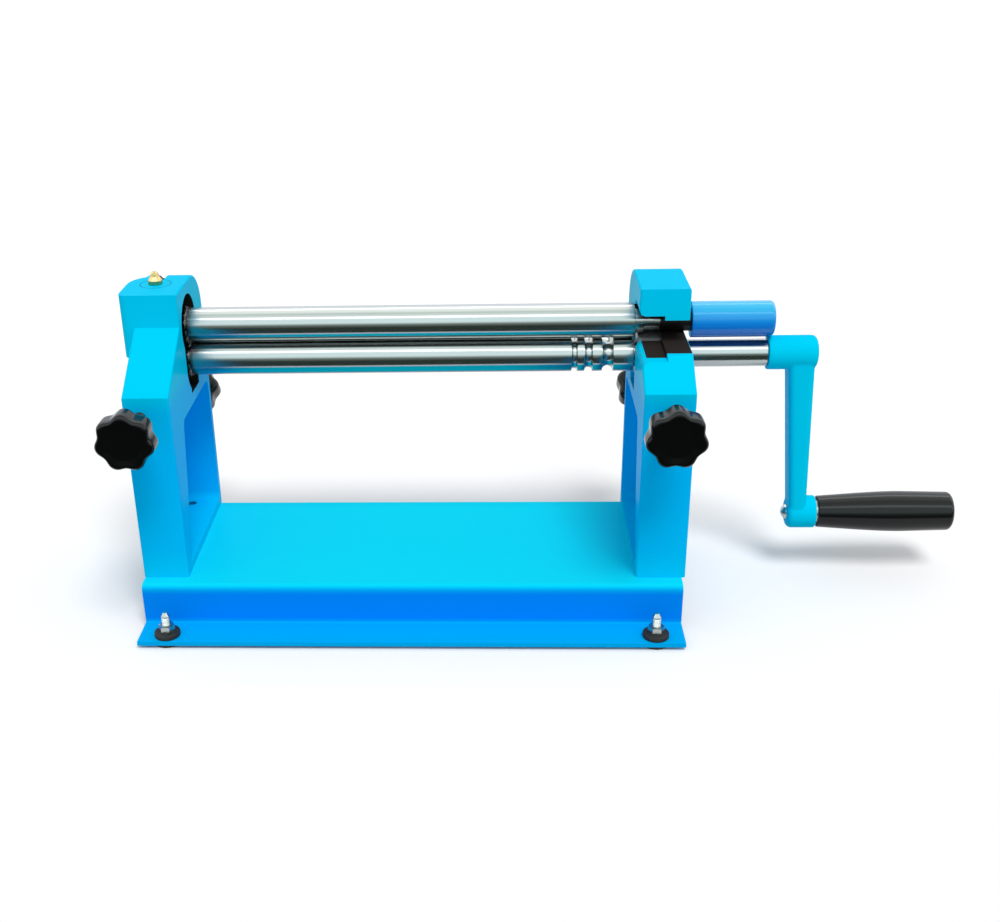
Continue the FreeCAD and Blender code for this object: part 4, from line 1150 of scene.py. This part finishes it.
@dataclass
class LobedKnob:
    """A moulded hand knob with seven soft lobes, on a threaded screw."""

    lobes: int = 7
    lobe_facets: int = 20
    lobe_depth: float = 2.5
    lobe_fullness: float = 1.15
    lobe_fade: float = 1.5
    radius: float = 20.0
    neck_root: float = 9.0
    # Corners (along, radius, rounding) from the middle of the face to the end of the neck.
    corners: tuple[Corner, ...] = (
        (0.6, 0), (0.6, 11.5, 6.0), (0, 15.9, 1.4), (0.15, 20.0, 3.5), (16.0, 20.0, 3.5),
        (16.0, 9.4, 2.2), (33.0, 7.0, 0.9), (33.0, 0),
    )
    screw_start: float = 12.0
    screw_radius: float = 4.0
    thread_start: float = 33.4
    thread_pitch: float = 1.25
    thread_depth: float = 0.55
    tip_radius: float = 3.2

    def build(
        self, name: str, face: Vector, inwards: Vector, reach: float, tip: float, turn: float
    ) -> None:
        """Build one knob and its screw.

        Args:
            name: The node's stem, such as front_left.
            face: The middle of the knob's face.
            inwards: The way from the face to the machine.
            reach: Face to the screw's end.
            tip: Length of the screw's plain tip.
            turn: How far the knob is turned about its own axis.
        """
        place = lay_along(inwards, face)
        knob = placed(self.lobed_turning(), place @ Matrix.Rotation(turn, 4, "X"))
        finished(knob, f"{name}_lobed_knob", PHENOLIC, f"{name}_knob")
        shoulder = reach - tip
        screw = turned([
            (self.screw_start, 0), (self.screw_start, self.screw_radius),
            (self.thread_start, self.screw_radius),
            *threaded(
                self.thread_start, shoulder, self.screw_radius,
                self.thread_pitch, self.thread_depth,
            ),
            (shoulder, self.tip_radius), (reach, self.tip_radius), (reach, 0),
        ], place, SMALL_STEPS)
        finished(screw, f"{name}_threaded_screw", OILED_STEEL, f"{name}_screw")

    def hollow(self, angle: float) -> float:
        """Give how deep the side lies at an angle, from nought on a lobe's crest to one."""
        return ((1 - math.cos(self.lobes * angle)) / 2) ** self.lobe_fullness

    def lobed_turning(self) -> Shape:
        """Grow the knob ring by ring; its lobes fade out towards the face and the neck.

        Returns:
            The closed knob, its face at zero and its neck along the X axis.
        """
        knob = bmesh.new()
        stations = [station for station in eased(self.corners, segments=7) if station[1] > 0]
        bmesh.ops.create_circle(knob, segments=self.lobes * self.lobe_facets, radius=MM)
        ring = knob.edges[:]
        for number, (along, radius) in enumerate(stations):
            if number:
                grown = bmesh.ops.extrude_edge_only(knob, edges=ring)["geom"]
                ring = [item for item in grown if isinstance(item, bmesh.types.BMEdge)]
            lobing = (radius - self.neck_root) / (self.radius - self.neck_root)
            depth = self.lobe_depth * min(1.0, max(0.0, lobing)) ** self.lobe_fade
            for vert in {vert for edge in ring for vert in edge.verts}:
                angle = math.atan2(vert.co.y, vert.co.x)
                reach = radius - depth * self.hollow(angle)
                vert.co = Vector((math.cos(angle) * reach, math.sin(angle) * reach, along)) * MM
        bmesh.ops.holes_fill(knob, edges=[edge for edge in knob.edges if edge.is_boundary])
        tidy(knob)
        return placed(knob, Matrix.Rotation(HALF_TURN / 2, 4, "Y"))


@dataclass
class HandScrews:
    """Two knobs in front that lift the lower roll, two behind that lift the rear roll."""

    knob: LobedKnob = field(default_factory=LobedKnob)
    front_reach: float = 112.0
    front_tip: float = 7.3
    front_turn: float = HALF_TURN / 7    # half a lobe
    rear_reach: float = 69.6
    rear_tip: float = 2.9
    rear_turn: float = 0.0
    rear_face: float = 120.0    # from the upper roll's axis, down the slant
    slant: float = 45.0

    def build(self) -> None:
        """Build the four knobs with their screws."""
        slant = math.radians(self.slant)
        back = Vector((0, math.cos(slant), -math.sin(slant)))
        for side in ("left", "right"):
            face = middle(f"front_{side}_screw")
            face.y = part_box(f"front_{side}_knob")[0].y
            self.knob.build(
                f"front_{side}", face, Vector((0, 1, 0)), self.front_reach, self.front_tip,
                self.front_turn,
            )
            face = LAYOUT.upper_axis + back * self.rear_face * MM
            face.x = middle(f"rear_{side}_knob").x
            self.knob.build(
                f"rear_{side}", face, -back, self.rear_reach, self.rear_tip, self.rear_turn
            )


# ---------------------------------------------------------------- crank and handle

@dataclass
class Crank:
    """The cast crank on the drive shaft, with its turning grip."""

    voxel: float = 0.75
    softness: float = 0.5
    softening: int = 6
    sleeve_radius: float = 9.7
    sleeve_chamfer: float = 0.7
    shaft_radius: float = 7.02
    grip_slim: float = 11.5
    grip_start_round: float = 0.9
    grip_swell: float = 13.6
    grip_swell_share: float = 0.3
    grip_full: float = 15.0
    grip_full_share: float = 0.55
    grip_ease: float = 300.0
    grip_tail: float = 14.1
    grip_end_round: float = 3.6
    dome_radius: float = 5.5
    dome_height: float = 3.5
    dome_steps: int = 8
    pin_radius: float = 4.0
    pin_facets: int = 64

    def build(self) -> None:
        """Build the crank from the shaft outwards."""
        finished(self.sleeve(), "shaft_spacer_sleeve", GROUND_STEEL, "shaft_sleeve")
        finished(self.casting(), "cast_crank_arm", ENAMEL, "crank_arm")
        finished(self.grip(), "turned_black_grip", PHENOLIC, "handle_grip")
        finished(self.pin(), "domed_handle_screw", ZINC_PLATE, "handle_screw")
        dress(ZINC_PLATE, "handle_washer", "handle_insert")
        dress(BLACK_OXIDE, "crank_set_screw")

    def sleeve(self) -> Shape:
        """Turn the spacer sleeve.

        Returns:
            The sleeve on the drive shaft, its ends chamfered.
        """
        length = extent("shaft_sleeve").x
        profile = eased([
            (0, self.shaft_radius), (length, self.shaft_radius),
            (length, self.sleeve_radius, self.sleeve_chamfer),
            (0, self.sleeve_radius, self.sleeve_chamfer),
        ], closed=True)
        place = along_rolls(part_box("shaft_sleeve")[0].x, LAYOUT.lower_axis)
        return turned(profile, place, closed=True)

    def casting(self) -> Shape:
        """Soften the crank's solid into one casting whose parts flow together.

        Returns:
            The casting, remeshed from the CAD solid so that hub, arm and boss blend.
        """
        source = bmesh.new()
        source.from_mesh(frame["nodes"]["crank_arm"].data)
        bmesh.ops.remove_doubles(source, verts=source.verts, dist=MERGE_DISTANCE * 10)
        carrier = linked(source, "crank_source")
        remesh = carrier.modifiers.new("casting", "REMESH")
        remesh.mode = "VOXEL"
        remesh.voxel_size = self.voxel * MM
        relax = carrier.modifiers.new("softening", "SMOOTH")
        relax.factor = self.softness
        relax.iterations = self.softening
        graph = bpy.context.evaluated_depsgraph_get()
        soft = bmesh.new()
        soft.from_mesh(carrier.evaluated_get(graph).to_mesh())
        bpy.data.objects.remove(carrier)
        bmesh.ops.recalc_face_normals(soft, faces=soft.faces)
        return soft

    def grip(self) -> Shape:
        """Turn the grip: slim at the arm, swelling past its middle, then easing to its end.

        Returns:
            The grip on its screw.
        """
        length = extent("handle_grip").x
        profile = eased([
            (0, 0), (0, self.grip_slim, self.grip_start_round),
            (length * self.grip_swell_share, self.grip_swell, self.grip_ease),
            (length * self.grip_full_share, self.grip_full, self.grip_ease),
            (length, self.grip_tail, self.grip_end_round), (length, 0),
        ], segments=8)
        place = along_rolls(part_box("handle_grip")[0].x, middle("handle_grip"))
        return turned(profile, place)

    def pin(self) -> Shape:
        """Turn the grip's screw.

        Returns:
            The screw, its head a low dome.
        """
        length = extent("handle_screw").x
        sphere = (self.dome_radius ** 2 + self.dome_height ** 2) / (2 * self.dome_height)
        rim = math.asin(self.dome_radius / sphere)
        angles = [rim * step / self.dome_steps for step in range(self.dome_steps + 1)]
        profile = [
            *((sphere * (1 - math.cos(angle)), sphere * math.sin(angle)) for angle in angles),
            (self.dome_height, self.pin_radius), (length, self.pin_radius), (length, 0),
        ]
        place = along_rolls(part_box("handle_screw")[0].x, middle("handle_screw"))
        return turned(profile, place, self.pin_facets)


# ---------------------------------------------------------------- studio

@dataclass(frozen=True)
class Lens:
    """The camera's place and turn: metres in the frame, radians, and shares of its width."""

    place: tuple[float, float, float] = (-0.0377, -0.8684, 0.4798)
    yaw: float = -0.0635
    pitch: float = 0.4472
    roll: float = -0.0304
    focal: float = 47.09
    shift_x: float = 0.0797
    shift_y: float = 0.0405

    def aim(self) -> Matrix:
        """Turn the three angles into a place in the frame.

        Returns:
            The camera's matrix, whose columns are right, up and backwards.
        """
        ahead = Vector((
            math.sin(self.yaw) * math.cos(self.pitch),
            math.cos(self.yaw) * math.cos(self.pitch),
            -math.sin(self.pitch),
        ))
        level = Vector((math.cos(self.yaw), -math.sin(self.yaw), 0))
        upright = level.cross(ahead)
        right = level * math.cos(self.roll) + upright * math.sin(self.roll)
        up = upright * math.cos(self.roll) - level * math.sin(self.roll)
        turn = Matrix((right, up, -ahead)).transposed().to_4x4()
        return Matrix.Translation(self.place) @ turn


@dataclass
class Studio:
    """A pale sweep, one soft key light, long overhead softboxes and the camera.

    The floor's sizes are metres and all angles are degrees.
    """

    lens: Lens = field(default_factory=Lens)
    floor_front: float = 0.15
    floor_back: float = 14.0
    floor_half: float = 9.0
    key_strength: float = 1.66
    key_from: tuple[float, float, float] = (0.2, -0.5, 0.92)
    key_spread: float = 22.0
    sky_strength: float = 0.62
    softbox_strength: float = 1.8
    strips: tuple[float, float] = (53.0, 125.0)
    strip_half: float = 5.0
    strip_gain: float = 2.6
    panorama: tuple[tuple[float, str], ...] = (
        (-180, "#B8BEC5"), (-110, "#B8BEC5"), (-90, "#262E29"), (-14, "#2C352F"), (4, "#78807C"),
        (18, "#E4F6F8"), (34, "#E0F1F6"), (50, "#EFF7FB"), (66, "#E5ECEC"), (82, "#CDD8D3"),
        (97, "#F9FFFC"), (114, "#FFFFFF"), (132, "#F9FCFF"), (150, "#E3E7F0"), (165, "#D0D4DC"),
        (180, "#B0B6BD"),
    )
    floor_shade: str = "#C4C8CA"
    floor_seen: str = "#FFFFFF"

    def build(self) -> None:
        """Set up floor, world, lights, camera and view."""
        scene = bpy.context.scene
        scene.view_settings.view_transform = "Standard"
        self.floor()
        self.world(scene)
        self.key()
        self.camera(scene)
        log.info("studio ready")

    def ray_is(self, tree: Tree, *kinds: str) -> Socket:
        """Give one for some kinds of ray.

        Args:
            tree: The node tree.
            *kinds: The kinds, by the names of Light Path's outputs.

        Returns:
            One for a ray of any of them, otherwise nought.
        """
        rays = add_node(tree, "ShaderNodeLightPath").outputs
        found = rays[kinds[0]]
        for kind in kinds[1:]:
            found = add_node(
                tree, "ShaderNodeMath", {"operation": "MAXIMUM"}, {0: found, 1: rays[kind]}
            ).outputs[0]
        return found

    def floor(self) -> None:
        """Lay the floor: white where it is seen, greyer where it only throws light back."""
        sheet = bmesh.new()
        bmesh.ops.create_grid(sheet, x_segments=1, y_segments=1, size=1.0)
        depth = (self.floor_back + self.floor_front) / 2
        bmesh.ops.scale(sheet, vec=(self.floor_half, depth, 1), verts=sheet.verts)
        bmesh.ops.translate(sheet, vec=(0, depth - self.floor_front, 0), verts=sheet.verts)
        floor = linked(sheet, "floor")
        paper = bpy.data.materials.new("white_paper_sweep")
        paper.use_nodes = True
        tree = paper.node_tree
        tree.nodes.clear()
        seen = self.ray_is(tree, "Is Camera Ray", "Is Glossy Ray", "Is Transmission Ray")
        colour = add_node(
            tree, "ShaderNodeMix",
            {"data_type": "RGBA", 6: linear(self.floor_shade), 7: linear(self.floor_seen)},
            {0: seen},
        ).outputs[2]
        shader = add_node(
            tree, "ShaderNodeBsdfPrincipled",
            {"Roughness": 0.95, "Specular IOR Level": 0.0}, {"Base Color": colour},
        )
        add_node(tree, "ShaderNodeOutputMaterial", links={"Surface": shader.outputs["BSDF"]})
        floor.data.materials.append(paper)

    def world(self, scene: bpy.types.Scene) -> None:
        """Light from all round; metals see a pale sweep, but a dim room low in front.

        The panorama's angles climb from straight ahead of the machine, over the top at 90
        degrees, to the sweep behind it at 180. Two bright strip lamps hang in it.

        Args:
            scene: The scene that gets the world.
        """
        sky = bpy.data.worlds.new("studio")
        scene.world = sky
        sky.use_nodes = True
        tree = sky.node_tree
        tree.nodes.clear()
        way = add_node(tree, "ShaderNodeTexCoord").outputs["Generated"]
        spread = add_node(tree, "ShaderNodeSeparateXYZ", links={"Vector": way})
        front = add_node(
            tree, "ShaderNodeMath", {"operation": "MULTIPLY", 1: -1.0}, {0: spread.outputs["Y"]}
        ).outputs[0]
        climb = add_node(
            tree, "ShaderNodeMath", {"operation": "ARCTAN2"}, {0: spread.outputs["Z"], 1: front}
        ).outputs[0]
        share = add_node(
            tree, "ShaderNodeMapRange", {"From Min": -HALF_TURN, "From Max": HALF_TURN},
            {"Value": climb},
        ).outputs["Result"]
        mirrored = ramp(tree, share, [
            ((degrees + 180) / 360, linear(shade)) for degrees, shade in self.panorama
        ])
        lamps = [
            within(
                tree, climb, math.radians(centre - self.strip_half),
                math.radians(centre + self.strip_half),
            )
            for centre in self.strips
        ]
        lit = add_node(
            tree, "ShaderNodeMath", {"operation": "ADD"}, {0: lamps[0], 1: lamps[1]}
        ).outputs[0]
        glow = add_node(
            tree, "ShaderNodeMath",
            {"operation": "MULTIPLY_ADD", 1: self.strip_gain, 2: self.softbox_strength},
            {0: lit},
        ).outputs[0]
        softbox = add_node(
            tree, "ShaderNodeVectorMath", {"operation": "SCALE"}, {0: mirrored, "Scale": glow}
        ).outputs["Vector"]
        even = (self.sky_strength, self.sky_strength, self.sky_strength, 1.0)
        unseen = add_node(
            tree, "ShaderNodeMix", {"data_type": "RGBA", 6: even},
            {0: self.ray_is(tree, "Is Glossy Ray"), 7: softbox},
        ).outputs[2]
        colour = add_node(
            tree, "ShaderNodeMix", {"data_type": "RGBA", 7: (1.0, 1.0, 1.0, 1.0)},
            {0: self.ray_is(tree, "Is Camera Ray", "Is Transmission Ray"), 6: unseen},
        ).outputs[2]
        light = add_node(tree, "ShaderNodeBackground", {"Strength": 1.0}, {"Color": colour})
        add_node(tree, "ShaderNodeOutputWorld", links={"Surface": light.outputs["Background"]})

    def key(self) -> None:
        """Hang the soft key light, high and a little to the right of the camera.

        Gloss shows the softboxes of the panorama in its place.
        """
        lamp = bpy.data.lights.new("key", "SUN")
        lamp.energy = self.key_strength
        lamp.angle = math.radians(self.key_spread)
        key = bpy.data.objects.new("key", lamp)
        toward = Vector(self.key_from).normalized()
        key.rotation_euler = toward.to_track_quat("Z", "Y").to_euler()
        key.visible_glossy = False
        bpy.context.scene.collection.objects.link(key)

    def camera(self, scene: bpy.types.Scene) -> None:
        """Set up the camera.

        Args:
            scene: The scene that gets the camera.
        """
        data = bpy.data.cameras.new("camera")
        data.lens = self.lens.focal
        data.shift_x = self.lens.shift_x
        data.shift_y = self.lens.shift_y
        data.clip_end = 100.0
        camera = bpy.data.objects.new("camera", data)
        camera.matrix_world = self.lens.aim()
        scene.collection.objects.link(camera)
        scene.camera = camera


def main() -> None:
    """Build every sub-assembly, then the studio."""
    logging.basicConfig(level=logging.INFO, format="%(name)s %(message)s")
    assemblies = (
        Base(), SideFrames(), Rolls(), ReleaseEnd(), Bearings(), HandScrews(), Crank(), Studio(),
    )
    for assembly in assemblies:
        log.info("building %s", type(assembly).__name__)
        assembly.build()


if __name__ == "__main__":
    main()
